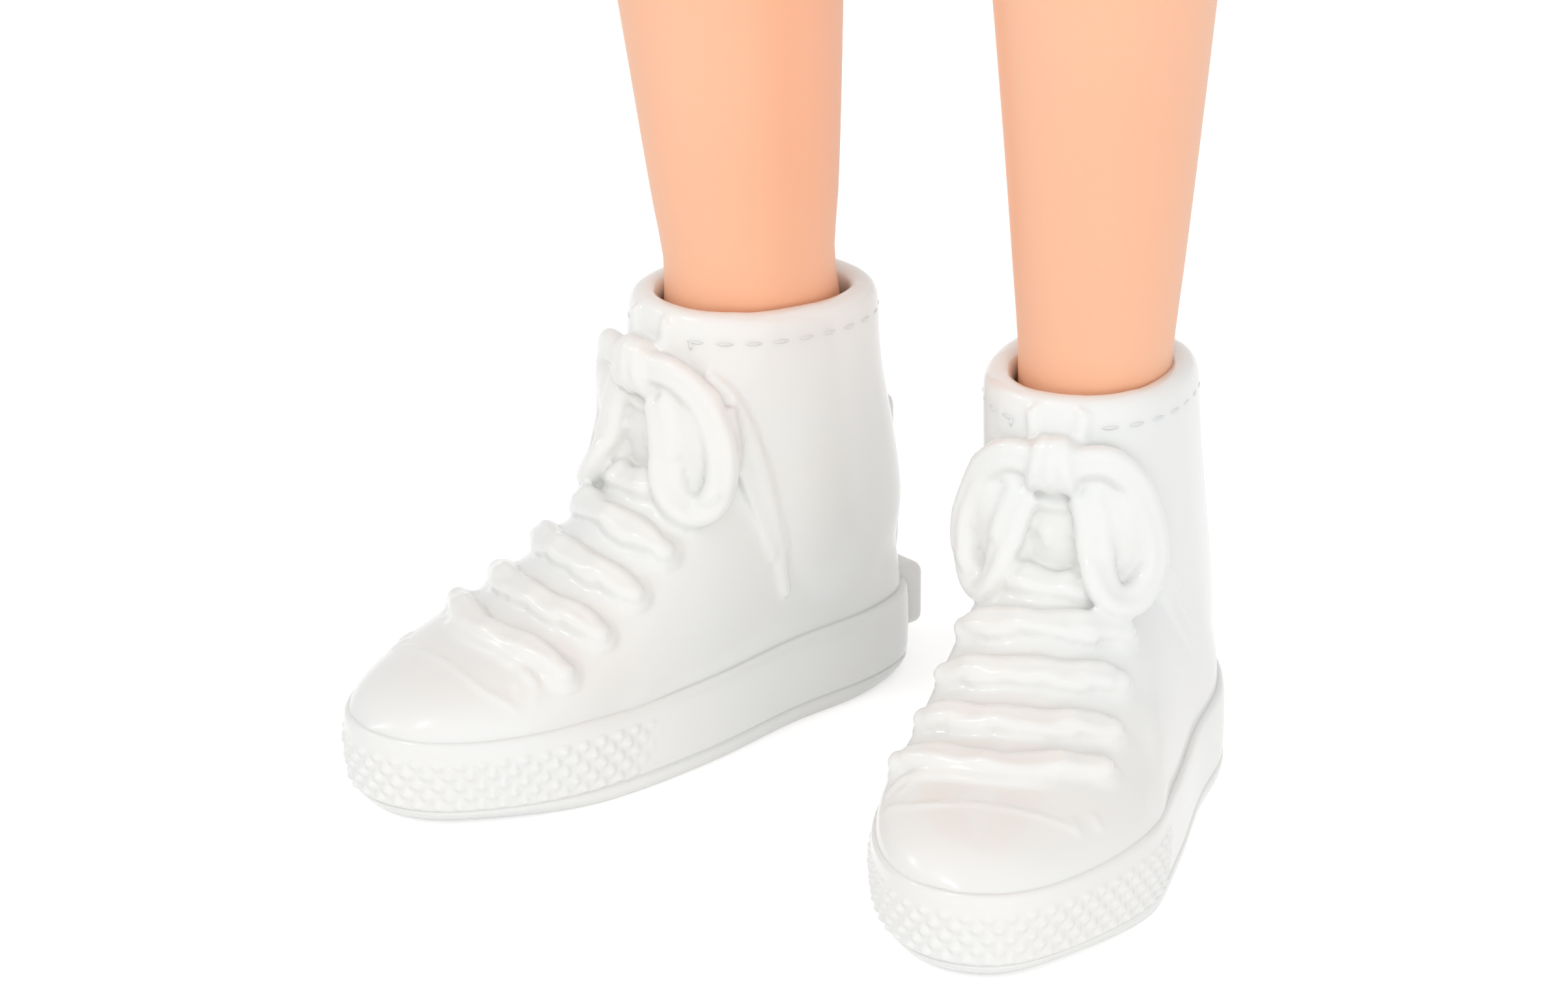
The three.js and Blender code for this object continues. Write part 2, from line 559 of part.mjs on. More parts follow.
// A thigh's cloth: a tube that flares towards its hem on the outer side, and a cup over the top of the leg.
const THIGH_FIT = 0.45; // how loose the cloth sits on the thigh

function shortsLeg() {
  const band = (grow, low, top) => {
    const heights = [low, 133, 140, 147, HIP_Z, 159, 162, 163.6];
    const flare = (z) => (turn) => grow + 1.2 * (1 + Math.cos(turn)) * smooth(-z, -150, -SHORTS_HEM);
    const sides = heights.map((z) => ring(legRow(rowAt(z)), 20, flare(z)));
    return solid(loft([...sides, ring({ ...legRow(rowAt(164.2)), z: top }, 20, grow)]));
  };
  const inside = band(THIGH_FIT, SHORTS_HEM - 1, 164.75);
  const outside = band(THIGH_FIT + CLOTH, SHORTS_HEM, 165.6);
  const middle = box([-FAR, -FAR, SHORTS_HEM - 2], [GAP + 0.05, FAR, WAISTBAND[0]]);
  const crotch = box([-FAR, -FAR, HIP_Z - CROTCH_REACH], [CROTCH_HALF + 2 * GAP, FAR, WAISTBAND[0]]);
  return outside.subtract(inside).subtract(middle).subtract(crotch);
}

// The leg's own row at any height.
function rowAt(z) {
  const above = LEG_ROWS.findIndex((row) => row[0] >= z);
  const [a, b] = [LEG_ROWS[above - 1], LEG_ROWS[above]];
  const share = (z - a[0]) / (b[0] - a[0]);
  return a.map((value, k) => (k ? THREE.MathUtils.lerp(value, b[k], share) : z));
}

// Finishes, as colours seen under white light.
function finish(color, roughness, metalness = 0) {
  return new THREE.MeshStandardMaterial({ color, roughness, metalness });
}


const SKIN = finish("#ffc5a0", 0.5);
const WHITE_VINYL = finish("#efeeec", 0.22);
const HAIR = finish("#6b4226", 0.45);
const KNIT = finish("#f2efe6", 0.9);
const DENIM = finish("#5f7fa8", 0.85);
const METAL = finish("#c9ccd2", 0.3, 1);
const CORE = finish("#d9d4cc", 0.5);

function piece(name, geometry, material) {
  const mesh = new THREE.Mesh(geometry, material);
  mesh.name = name;
  return mesh;
}

const shell = bodyShell();
const halves = [
  ["torso_front", box([-FAR, -FAR, SHORTS_HEM], [FAR, BODY_Y - GAP / 2, NECK_TOP + 1])],
  ["torso_back", box([-FAR, BODY_Y + GAP / 2, SHORTS_HEM], [FAR, FAR, NECK_TOP + 1])],
];
const doll = new THREE.Group();
doll.add(
  ...halves.map(([name, side]) => piece(name, geometryOf(shell.intersect(side)), SKIN)),
  piece("hip_axle", rodAlongX(-AXLE_HALF, AXLE_HALF, AXLE_RADIUS, BODY_Y, HIP_Z, 16), CORE),
  piece("neck_knob", neckKnob(), CORE),
  piece("head", geometryOf(headSolid()), SKIN),
  piece("hair", geometryOf(hairSolid()), HAIR),
  piece("hair_tie", hairTie(), WHITE_VINYL),
  piece("tank_top", geometryOf(tankTop()), KNIT),
  piece("top_back_closure", geometryOf(backClosure()), KNIT),
  piece("shorts_yoke", geometryOf(shortsYoke()), DENIM),
  piece("shorts_waistband", geometryOf(waistband()), DENIM),
  piece("shorts_button", shortsButton(), METAL),
);

// The paired pieces, made once for the left side and mirrored for the right.
const paired = {
  arm: [geometryOf(armSolid()), SKIN],
  leg: [geometryOf(legSolid()), SKIN],
  shorts_leg: [geometryOf(shortsLeg()), DENIM],
  back_pocket: [geometryOf(backPocket()), DENIM],
  earring: [ellipsoid(EAR.x + 1.9, EAR.y - 0.4, EAR.z - 4.2, 1, 1, 1, 8, 6), METAL],
};
const shoe = geometryOf(shoeSolid());
for (const [side, sign] of [["left", 1], ["right", -1]]) {
  const half = new THREE.Group();
  half.scale.x = sign;
  for (const [name, [geometry, material]] of Object.entries(paired))
    half.add(piece(`${name}_${side}`, geometry, material));
  const foot = piece(`shoe_${side}`, shoe, WHITE_VINYL);
  foot.position.set(ANKLE_X, 0, 0);
  foot.rotation.z = rad(TOE_OUT);
  half.add(foot);
  doll.add(half);
}
doll.position.y = CENTRE_Y;

export default doll;
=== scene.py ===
"""A jointed fashion doll in moulded high-top sneakers: its skins, garments and finishes, and its stage."""

import json
import math
import random

import bmesh
import bpy
from bpy.props import FloatProperty, FloatVectorProperty, PointerProperty
from mathutils import Matrix, Vector
from mathutils.bvhtree import BVHTree


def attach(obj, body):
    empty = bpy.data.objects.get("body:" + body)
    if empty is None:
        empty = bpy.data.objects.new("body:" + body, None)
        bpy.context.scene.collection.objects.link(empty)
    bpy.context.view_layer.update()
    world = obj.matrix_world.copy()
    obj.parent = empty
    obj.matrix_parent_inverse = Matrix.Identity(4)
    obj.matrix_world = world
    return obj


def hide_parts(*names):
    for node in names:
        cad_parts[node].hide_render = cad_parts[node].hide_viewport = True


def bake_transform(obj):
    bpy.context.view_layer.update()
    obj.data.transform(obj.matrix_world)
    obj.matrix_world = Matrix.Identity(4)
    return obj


bl_info = {
    "name": "Fashion Doll",
    "version": (1, 0, 0),
    "blender": (4, 5, 0),
    "location": "View3D > Sidebar > Doll",
    "description": "Builds a jointed fashion doll with moulded sneakers, a knitted top and denim shorts",
    "category": "Add Mesh",
}

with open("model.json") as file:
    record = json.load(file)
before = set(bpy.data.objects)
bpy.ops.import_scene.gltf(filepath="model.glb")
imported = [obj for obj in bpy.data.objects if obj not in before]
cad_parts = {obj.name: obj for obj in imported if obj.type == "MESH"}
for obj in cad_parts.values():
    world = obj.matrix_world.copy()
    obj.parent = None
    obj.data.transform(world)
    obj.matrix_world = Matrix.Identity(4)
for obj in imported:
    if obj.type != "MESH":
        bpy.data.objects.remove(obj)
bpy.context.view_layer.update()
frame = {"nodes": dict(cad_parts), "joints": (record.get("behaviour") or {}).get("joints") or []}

# Sizes are in millimetres, and a piece is scaled to metres when it is finished.
MM = 0.001


def joint_place(name):
    """Where a joint of the frame lies, in millimetres."""
    found = next(joint for joint in frame["joints"] if joint["name"] == name)
    return Vector(found["pos_m"]) / MM


# The doll is modelled with its ankles over y = 0, and a finished piece is moved to the frame's own middle.
BODY_Y = -6.5
HIP = joint_place("hip_left")
TO_FRAME = Vector((0, HIP.y - BODY_Y, 0))
SHOULDER = joint_place("shoulder_left") - TO_FRAME
# The radius that the cloths' threads are counted at.
MEAN_RADIUS = 17

ANKLE_X = 9.4
TOE_OUT = math.radians(16)
NECK_TOP = 256
SHORTS_HEM = 127
# How square the sections of the ankle, the body and its clothes are, where 2 is an oval.
SQUARE = 2.2
WAISTBAND = (181.5, 187)
# A piece of the left side is made as it is, and one of the right side is its mirror image.
SIDES = {"left": 1, "right": -1}


def smooth(value, low, high):
    """From 0 at low to 1 at high, with level ends."""
    share = min(max((value - low) / (high - low), 0), 1)
    return share * share * (3 - 2 * share)


def mix(a, b, share):
    return a + (b - a) * share


def signed_power(value, power):
    return math.copysign(abs(value) ** power, value)


def bell(value, middle, width):
    return math.exp(-(((value - middle) / width) ** 2))


class Rows:
    """Rows of numbers as one smooth curve each, read at any value of the first column."""

    def __init__(self, rows):
        self.rows = sorted(rows)

    def __call__(self, key):
        rows = self.rows
        k = max((n for n in range(len(rows) - 1) if rows[n][0] <= key), default=0)
        before, a = rows[max(k - 1, 0)], rows[k]
        b, after = rows[k + 1], rows[min(k + 2, len(rows) - 1)]
        span = b[0] - a[0]
        s = min(max((key - a[0]) / span, 0), 1)
        values = []
        for n in range(1, len(a)):
            slope_a = (b[n] - before[n]) / (b[0] - before[0]) * span
            slope_b = (after[n] - a[n]) / (after[0] - a[0]) * span
            bend = (2 * s - 3) * s * s
            start, end = (s - 2) * s * s + s, (s - 1) * s * s
            values.append(a[n] + (a[n] - b[n]) * bend + slope_a * start + slope_b * end)
        return values


def steps(low, high, count):
    return [mix(low, high, k / count) for k in range(count + 1)]


def curve_through(points, count, closed=False):
    """Evenly many points on a smooth curve through a few."""
    marks = [Vector(p) for p in points]
    total = len(marks) if closed else len(marks) - 1
    found = []
    for k in range(count + (0 if closed else 1)):
        at = k / count * total
        n = min(int(at), total - 1)
        s = at - n
        near = (n - 1, n, n + 1, n + 2)
        p0, p1, p2, p3 = (marks[i % len(marks) if closed else min(max(i, 0), len(marks) - 1)] for i in near)
        flat = 2 * p1 + (p2 - p0) * s
        bend = (2 * p0 - 5 * p1 + 4 * p2 - p3) * s * s
        found.append((flat + bend + (3 * p1 - p0 - 3 * p2 + p3) * s**3) / 2)
    return found


# Mesh tools


def loft(along, count, place, caps=(True, True), joined=False):
    """A skin of rings: the first is extruded from row to row, and place(row, turn) puts each vertex."""
    bm = bmesh.new()
    turn = bm.verts.layers.float.new("turn")
    ring = bmesh.ops.create_circle(bm, cap_ends=False, radius=1, segments=count)["verts"]
    edges = bm.edges[:]
    for vert in ring:
        vert[turn] = math.atan2(vert.co.y, vert.co.x)
    first = edges
    for n, row in enumerate(along):
        if n:
            made = bmesh.ops.extrude_edge_only(bm, edges=edges)["geom"]
            ring = [part for part in made if isinstance(part, bmesh.types.BMVert)]
            inside = set(ring)
            edges = [e for e in made if isinstance(e, bmesh.types.BMEdge) and set(e.verts) <= inside]
        for vert in ring:
            vert.co = place(row, vert[turn])
    if joined:
        bmesh.ops.bridge_loops(bm, edges=first + edges)
    for edge_ring, wanted in ((first, caps[0]), (edges, caps[1])):
        if wanted and not joined:
            bmesh.ops.contextual_create(bm, geom=edge_ring)
    bmesh.ops.recalc_face_normals(bm, faces=bm.faces)
    return bm


def tube(points, radius, sides=10, flat=1.0, up=(0, 0, 1), closed=False):
    """A cord along points, open or closed on itself. flat squashes it along up.

    radius is a number or a function of the share of the way and the turn round the cord.
    """
    width = radius if callable(radius) else lambda share, turn: radius
    places = [Vector(p) for p in points]
    last = len(places) - 1
    frames, side = [], None
    for k in range(last + 1):
        behind, beyond = (places[k - 1], places[(k + 1) % len(places)]) if closed else (
            places[max(k - 1, 0)], places[min(k + 1, last)]
        )
        ahead = (beyond - behind).normalized()
        across = Vector(up).cross(ahead) if side is None else side - ahead * side.dot(ahead)
        side = across.normalized()
        frames.append((side, ahead.cross(side)))

    def place(k, turn):
        across, rise = frames[k]
        size = width(k / last, turn)
        return places[k] + (across * math.cos(turn) + rise * math.sin(turn) * flat) * size

    return loft(range(last + 1), sides, place, joined=closed)


def ball(centre, radii, across=24, down=16, turned=None):
    """An ellipsoid, turned about its own centre."""
    bm = bmesh.new()
    bmesh.ops.create_uvsphere(bm, u_segments=across, v_segments=down, radius=1)
    bmesh.ops.scale(bm, vec=radii, verts=bm.verts)
    if turned is not None:
        bmesh.ops.rotate(bm, matrix=turned, verts=bm.verts)
    bmesh.ops.translate(bm, vec=centre, verts=bm.verts)
    return bm


def rod(start, end, radius, sides=48):
    """A round bar between two points."""
    a, b = Vector(start), Vector(end)
    bm = bmesh.new()
    bmesh.ops.create_cone(
        bm, cap_ends=True, segments=sides, radius1=radius, radius2=radius, depth=(b - a).length
    )
    bmesh.ops.rotate(bm, matrix=(b - a).to_track_quat("Z", "Y").to_matrix(), verts=bm.verts)
    bmesh.ops.translate(bm, vec=(a + b) / 2, verts=bm.verts)
    return bm


def crossbar(start, end, height, radius, sides=48):
    """A round bar across the doll, in the plane of its joints."""
    return rod((start, BODY_Y, height), (end, BODY_Y, height), radius, sides)


def upright(low, high, radius, sides=48):
    """A round bar up the doll's middle."""
    return rod((0, BODY_Y, low), (0, BODY_Y, high), radius, sides)


def block(low, high):
    bm = bmesh.new()
    bmesh.ops.create_cube(bm, size=1)
    low, high = Vector(low), Vector(high)
    bmesh.ops.scale(bm, vec=high - low, verts=bm.verts)
    bmesh.ops.translate(bm, vec=(low + high) / 2, verts=bm.verts)
    return bm


def worn_block(low, high, rounding, segments=4):
    """A block with all its edges rounded."""
    bm = block(low, high)
    bmesh.ops.bevel(
        bm, geom=bm.edges[:], offset=rounding, offset_type="OFFSET", affect="EDGES",
        segments=segments, profile=0.5, material=-1,
    )
    return bm


def new_mesh(name, bm):
    mesh = bpy.data.meshes.new(name)
    bm.to_mesh(mesh)
    bm.free()
    return mesh


def new_object(name, data):
    made = bpy.data.objects.new(name, data)
    bpy.context.scene.collection.objects.link(made)
    return made


def joined(parts):
    """Several meshes as one, each left as it is."""
    together = bmesh.new()
    for part in parts:
        scratch = new_mesh("part", part)
        together.from_mesh(scratch)
        bpy.data.meshes.remove(scratch)
    return together


def through_modifiers(bm, add):
    """A mesh after the modifiers that add(holder) puts on its holder."""
    holder = new_object("held", new_mesh("held", bm))
    helpers = add(holder) or []
    bpy.context.view_layer.update()
    graph = bpy.context.evaluated_depsgraph_get()
    made = bpy.data.meshes.new_from_object(holder.evaluated_get(graph))
    result = bmesh.new()
    result.from_mesh(made)
    for thing in [holder, *helpers]:
        data = thing.data
        bpy.data.objects.remove(thing)
        bpy.data.meshes.remove(data)
    bpy.data.meshes.remove(made)
    return result


def fused(parts, voxel, passes):
    """One skin round overlapping closed forms, with the joints between them softened."""

    def add(holder):
        skin = holder.modifiers.new("skin", "REMESH")
        skin.mode = "VOXEL"
        skin.voxel_size = voxel
        skin.adaptivity = 0
        soft = holder.modifiers.new("soft", "SMOOTH")
        soft.factor = 0.5
        soft.iterations = passes

    return through_modifiers(joined(parts), add)


def carved(bm, *cutters):
    """A closed form with other closed forms taken out of it."""

    def add(holder):
        helpers = []
        for cutter in cutters:
            tool = new_object("cutter", new_mesh("cutter", cutter))
            cut = holder.modifiers.new("cut", "BOOLEAN")
            cut.operation = "DIFFERENCE"
            cut.solver = "MANIFOLD"
            cut.object = tool
            helpers.append(tool)
        return helpers

    return through_modifiers(bm, add)


def mirrored(bm, side):
    """The left piece as it is for side 1, and its mirror image for side -1."""
    if side < 0:
        bmesh.ops.scale(bm, vec=(-1, 1, 1), verts=bm.verts)
        bmesh.ops.reverse_faces(bm, faces=bm.faces)
    return bm


def hugging(tree, points, lift):
    """Points moved onto a surface and lifted off it."""
    found = []
    for point in points:
        place, normal, _, _ = tree.find_nearest(Vector(point))
        found.append(place + normal * lift)
    return found


def piece(name, bm, material, body, slot, nodes=(), sharp=40, blend=None):
    """Finishes a piece: metres, smooth faces, its material, its body and what it stands for. With blend it
    is left in place under no body.
    """
    limit = math.radians(sharp)
    for face in bm.faces:
        face.smooth = True
    for edge in bm.edges:
        if len(edge.link_faces) == 2 and edge.calc_face_angle(0) > limit:
            edge.smooth = False
    bmesh.ops.translate(bm, vec=TO_FRAME, verts=bm.verts)
    bmesh.ops.scale(bm, vec=(MM, MM, MM), verts=bm.verts)
    mesh = new_mesh(name, bm)
    mesh.materials.append(material)
    made = new_object(name, mesh)
    if nodes:
        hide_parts(*nodes)
    if blend:
        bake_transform(made)
    else:
        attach(made, body)
    return made


def side_piece(name, side, form, *facts, **options):
    """A finished piece of one side, from the form of the left one."""
    return piece(f"{name}_{side}", mirrored(form.copy(), SIDES[side]), *facts, **options)


def edge_loops(bm, limit, keep):
    """The sharp edges of a mesh whose ends keep(place) accepts, chained into closed paths.

    Each path starts at its lowest edge, so that every run gives the same one.
    """

    def height_first(vert):
        return vert.co.z, vert.co.x, vert.co.y

    def lowest_first(edge):
        return sorted(height_first(vert) for vert in edge.verts)

    sharp = {
        e for e in bm.edges
        if len(e.link_faces) == 2 and e.calc_face_angle(0) > limit and all(keep(v.co) for v in e.verts)
    }
    loops = []
    while sharp:
        edge = min(sharp, key=lowest_first)
        sharp.discard(edge)
        path = sorted(edge.verts, key=height_first)
        while True:
            onward = next((e for e in path[-1].link_edges if e in sharp), None)
            if onward is None:
                break
            sharp.discard(onward)
            path.append(onward.other_vert(path[-1]))
        if path[0] is path[-1]:
            loops.append([v.co.copy() for v in path[:-1]])
    return loops


def distances(points):
    """How far along a path each of its points lies."""
    found = [0.0]
    for a, b in zip(points, points[1:]):
        found.append(found[-1] + (b - a).length)
    return found


def evened(loop, pitch, passes=6):
    """A closed path at even spacing, with its small steps smoothed."""
    lengths = distances(loop + loop[:1])
    count = max(int(lengths[-1] / pitch), 8)
    points, n = [], 0
    for k in range(count):
        wanted = lengths[-1] * k / count
        while lengths[n + 1] < wanted:
            n += 1
        share = (wanted - lengths[n]) / max(lengths[n + 1] - lengths[n], 1e-9)
        points.append(loop[n].lerp(loop[(n + 1) % len(loop)], share))
    for _ in range(passes):
        points = [(points[k - 1] + points[k] * 2 + points[(k + 1) % count]) / 4 for k in range(count)]
    return points


def sewn(path, length, gap, thickness, tree=None, lift=0.0):
    """A row of stitches along a path: short rounded dashes, each of a few dozen faces."""
    points = [Vector(p) for p in path]
    lengths = distances(points)

    def at(distance):
        n = max((k for k in range(len(points) - 1) if lengths[k] <= distance), default=0)
        share = (distance - lengths[n]) / max(lengths[n + 1] - lengths[n], 1e-9)
        return points[n].lerp(points[n + 1], min(max(share, 0), 1))

    dashes = []
    count = int(lengths[-1] / (length + gap))
    pitch = lengths[-1] / max(count, 1)
    for k in range(count):
        a, b = at(k * pitch + gap / 2), at(k * pitch + gap / 2 + length)
        middle = (a + b) / 2
        if tree:
            place, normal, _, _ = tree.find_nearest(middle)
            middle = place + normal * lift
        turned = (b - a).to_track_quat("X", "Z").to_matrix()
        dashes.append(ball(middle, ((b - a).length / 2, thickness, thickness), 8, 5, turned))
    return joined(dashes)


# Shader tools


class Wire:
    """A shader socket that takes part in arithmetic: each step adds its Math node."""

    def __init__(self, finish, socket):
        self.finish = finish
        self.socket = socket

    def step(self, operation, *others):
        return self.finish.math(operation, self, *others)

    def __add__(self, other):
        return self.step("ADD", other)

    def __radd__(self, other):
        return self.step("ADD", other)

    def __sub__(self, other):
        return self.step("SUBTRACT", other)

    def __rsub__(self, other):
        return self.finish.math("SUBTRACT", other, self)

    def __mul__(self, other):
        return self.step("MULTIPLY", other)

    def __rmul__(self, other):
        return self.step("MULTIPLY", other)

    def __truediv__(self, other):
        return self.step("DIVIDE", other)

    def __rtruediv__(self, other):
        return self.finish.math("DIVIDE", other, self)

    def __pow__(self, other):
        return self.step("POWER", other)

    def __abs__(self):
        return self.step("ABSOLUTE")

    def sine(self):
        return self.step("SINE")

    def within(self, low, high):
        """From 0 at low to 1 at high, with level ends."""
        settings = {"interpolation_type": "SMOOTHSTEP"}
        values = {"Value": self, "From Min": low, "From Max": high}
        return self.finish.node("ShaderNodeMapRange", settings, values)


class Finish:
    """A material with one shader, and what builds its nodes."""

    def __init__(self, name, **constants):
        self.material = bpy.data.materials.new(name)
        self.material.use_nodes = True
        self.tree = self.material.node_tree
        self.shader = self.tree.nodes["Principled BSDF"]
        self.place = None
        for socket, value in constants.items():
            self.set(socket.replace("_", " "), value)

    def feed(self, target, value):
        """Links a wire to a socket, or sets its value."""
        if isinstance(value, Wire):
            self.tree.links.new(value.socket, target)
        elif hasattr(value, "__len__") and len(value) == 3 and len(target.default_value) == 4:
            target.default_value = (*value, 1)
        else:
            target.default_value = value

    def set(self, socket, value):
        self.feed(self.shader.inputs[socket], value)

    def node(self, kind, settings=None, values=None, output=0):
        made = self.tree.nodes.new(kind)
        for name, value in (settings or {}).items():
            setattr(made, name, value)
        for name, value in (values or {}).items():
            self.feed(made.inputs[name], value)
        return Wire(self, made.outputs[output])

    def math(self, operation, *values):
        return self.node("ShaderNodeMath", {"operation": operation}, dict(enumerate(values)))

    def blend(self, factor, a, b, mode="MIX"):
        """A colour between two."""
        settings = {"data_type": "RGBA", "blend_type": mode}
        return self.node("ShaderNodeMix", settings, {0: factor, 6: a, 7: b}, output=2)

    def where(self):
        """The place on the piece, in metres."""
        if self.place is None:
            self.place = self.node("ShaderNodeTexCoord", output=3)
        return self.place

    def axes(self, place=None):
        """A place, or else the one on the piece, as three numbers in millimetres."""
        split = self.tree.nodes.new("ShaderNodeSeparateXYZ")
        self.feed(split.inputs[0], place or self.where())
        return [Wire(self, out) / MM for out in split.outputs]

    def noise(self, size, detail=3, stretch=(1, 1, 1)):
        """Noise with grains of a size in millimetres, from about 0.3 to 0.7."""
        shift = {"Vector": self.where(), "Scale": stretch}
        placed = self.node("ShaderNodeMapping", {"vector_type": "TEXTURE"}, shift)
        grain = {"Vector": placed, "Scale": 1 / (size * MM), "Detail": detail}
        return self.node("ShaderNodeTexNoise", None, grain)

    def relief(self, height, depth):
        """A bump: height from 0 to 1 stands for depth millimetres."""
        bump = self.node("ShaderNodeBump", None, {"Height": height, "Distance": depth * MM, "Strength": 1})
        self.set("Normal", bump)


VINYL = {"IOR": 1.5, "Subsurface_Scale": 1.0}
# Colours of the small pieces.
CORE = (0.69, 0.66, 0.6)
ELASTIC = (0.86, 0.85, 0.84)
SILVER = (0.75, 0.76, 0.78)
BRASS = (0.62, 0.55, 0.46)


def tinted(colour, *factors):
    """A colour times one factor for each of its channels, or one for them all."""
    return tuple(c * f for c, f in zip(colour, factors * (3 // len(factors))))


def skin_finish(name, colour):
    """Satin vinyl: an even tint that deepens a little in broad patches, over a very fine grain."""
    finish = Finish(name, **VINYL, Subsurface_Weight=0.12, Subsurface_Radius=(0.0016, 0.0007, 0.0004))
    broad = finish.noise(26, detail=2).within(0.35, 0.65)
    warm = tinted(colour, 0.985, 0.93, 0.89)
    finish.set("Base Color", finish.blend(broad * 0.6, colour, warm))
    finish.set("Roughness", 0.4 + finish.noise(9) * 0.1)
    finish.relief(finish.noise(0.5, detail=2), 0.006)
    return finish


def shoe_finish(name, colour):
    """Glossy moulded vinyl: nearly white, with a faint change of cast and slow waves."""
    finish = Finish(name, **VINYL, Subsurface_Weight=0.15, Subsurface_Radius=(0.0012, 0.0009, 0.0008))
    finish.set("Coat Weight", 0.6)
    finish.set("Coat Roughness", 0.05)
    cool = tinted(colour, 0.985, 0.99, 0.995)
    warm = tinted(colour, 1.0, 0.98, 0.97)
    finish.set("Base Color", finish.blend(finish.noise(12, detail=1).within(0.3, 0.7), cool, warm))
    finish.set("Roughness", 0.285 + finish.noise(9, detail=1) * 0.05)
    finish.relief(finish.noise(5, detail=1), 0.03)
    return finish


def thing_finish(name, colour, roughness, metallic=0.0):
    """A small hard piece: an even colour with a handled, slightly uneven gloss."""
    finish = Finish(name, Metallic=metallic)
    dull = tinted(colour, 0.86)
    finish.set("Base Color", finish.blend(finish.noise(1.2).within(0.4, 0.7), colour, dull))
    finish.set("Roughness", roughness + finish.noise(0.6) * 0.12)
    finish.relief(finish.noise(0.25), 0.01)
    return finish


class FacePaint:
    """Colours laid over one another on the front of the face, at places seen from ahead in millimetres."""

    def __init__(self, finish):
        self.finish = finish
        self.x, y, self.z = finish.axes()
        self.side = abs(self.x)
        self.front = (HIP.y - y).within(6, 7)
        self.tint = Wire(finish, finish.shader.inputs["Base Color"].links[0].from_socket)

    def lay(self, colour, mask):
        self.tint = self.finish.blend(mask * self.front, self.tint, colour)

    def oval(self, place, radii, soft, across=None):
        """One inside an oval and none outside it, on both sides of the face."""
        far = (((across or self.side) - place[0]) / radii[0]) ** 2 + ((self.z - place[1]) / radii[1]) ** 2
        return 1 - (far ** 0.5).within(1 - soft, 1 + soft)

    def between(self, low, high, soft):
        """One between two lines and none above and below them."""
        return (high - self.z).within(-soft, soft) * (self.z - low).within(-soft, soft)


def paint_eyes(face, colour):
    """Calm open eyes: the fold over each, its white, iris, pupil and glint, and its two rows of lashes."""
    middle, height = EYE
    out = face.side - middle
    opening = 1 - (out / EYE_HALF) ** 2
    upper = height + 0.1 + opening * LID_RISE + out * EYE_TILT
    lower = height + 0.05 - opening * LID_FALL + out * EYE_TILT
    inside = face.between(lower, upper, 0.06)
    face.lay((0.55, 0.3, 0.2), face.between(upper, upper + 0.75, 0.1) * opening.within(0, 0.3) * 0.35)
    face.lay((0.87, 0.87, 0.86), inside)
    glow = tuple(min(c * 2.1 + 0.04, 1) for c in colour)
    for tint, rise, radii, soft, strength in (
        (tinted(colour, 0.35), 0.2, (IRIS_RADIUS, IRIS_RADIUS), 0.06, 1),
        (colour, 0.15, (IRIS_RADIUS - 0.2, IRIS_RADIUS - 0.2), 0.12, 1),
        (glow, -0.3, (0.85, 0.6), 0.3, 0.7),
        ((0.008, 0.007, 0.007), 0.2, (PUPIL_RADIUS, PUPIL_RADIUS), 0.1, 1),
    ):
        face.lay(tint, face.oval((middle - 0.05, height + rise), radii, soft) * inside * strength)
    glint = face.oval((0, height + 0.68), (0.3, 0.3), 0.2, across=abs(face.x - 0.35) - middle)
    face.lay((0.95, 0.95, 0.95), glint * inside)
    lid = face.between(upper - 0.1, upper + 0.34, 0.06)
    face.lay((0.035, 0.02, 0.015), lid * (opening + 0.12).within(0, 0.14))
    lashes = face.between(lower - 0.1, lower + 0.06, 0.05)
    face.lay((0.2, 0.09, 0.06), lashes * (opening + 0.05).within(0, 0.2) * 0.7)


def paint_brows(face):
    """Soft arched brows, a little uneven along their hairs."""
    side, z = face.side, face.z
    arch = BROW_TOP - ((side - 5.4) / 3.6) ** 2 * 0.8 - (side - 5) * 0.05
    ends = (side - 2.7).within(0, 0.7) * (9.0 - side).within(0, 1.4)
    half = 0.32 - (side - 3) * 0.03
    brow = (arch + half - z).within(-0.1, 0.12) * (z - arch + half).within(-0.1, 0.12) * ends
    face.lay((0.13, 0.06, 0.03), brow * (0.75 + face.finish.noise(0.22, stretch=(0.3, 1, 1)) * 0.3))


def paint_mouth(face, colour):
    """Closed lips in a slight smile, and the line between them."""
    side, z = face.side, face.z
    mouth = MOUTH_HEIGHT + side ** 2 * 0.045
    bow = 0.95 - (side - 0.75) ** 2 * 0.16 - (1 - side / 0.5).within(0, 1) * 0.22
    upper = (bow - (z - mouth)).within(-0.08, 0.08) * (z - mouth).within(-0.05, 0.05)
    lower = (1.0 - side ** 2 * 0.17 - (mouth - z)).within(-0.08, 0.08) * (mouth - z).within(-0.05, 0.05)
    face.lay(tinted(colour, 0.86), upper * (LIP_HALF - side).within(0, 0.5))
    face.lay(colour, lower * (LIP_HALF - 0.25 - side).within(0, 0.5))
    line = (0.12 - abs(z - mouth)).within(0, 0.1) * (LIP_HALF - 0.05 - side).within(0, 0.6)
    face.lay(tinted(colour, 0.3), line * 0.8)


def face_finish(name, colour, eyes, lips):
    """The skin's vinyl with a face painted on its front: blush, eyes, brows, lips and nostrils."""
    finish = skin_finish(name, colour)
    face = FacePaint(finish)
    face.lay(tinted(colour, 1.0, 0.72, 0.7), face.oval(BLUSH, (4.6, 3.4), 0.9) * 0.4)
    paint_eyes(face, eyes)
    paint_brows(face)
    paint_mouth(face, lips)
    face.lay((0.45, 0.16, 0.1), face.oval(NOSTRIL, (0.34, 0.2), 0.5) * 0.6)
    finish.set("Base Color", face.tint)
    return finish


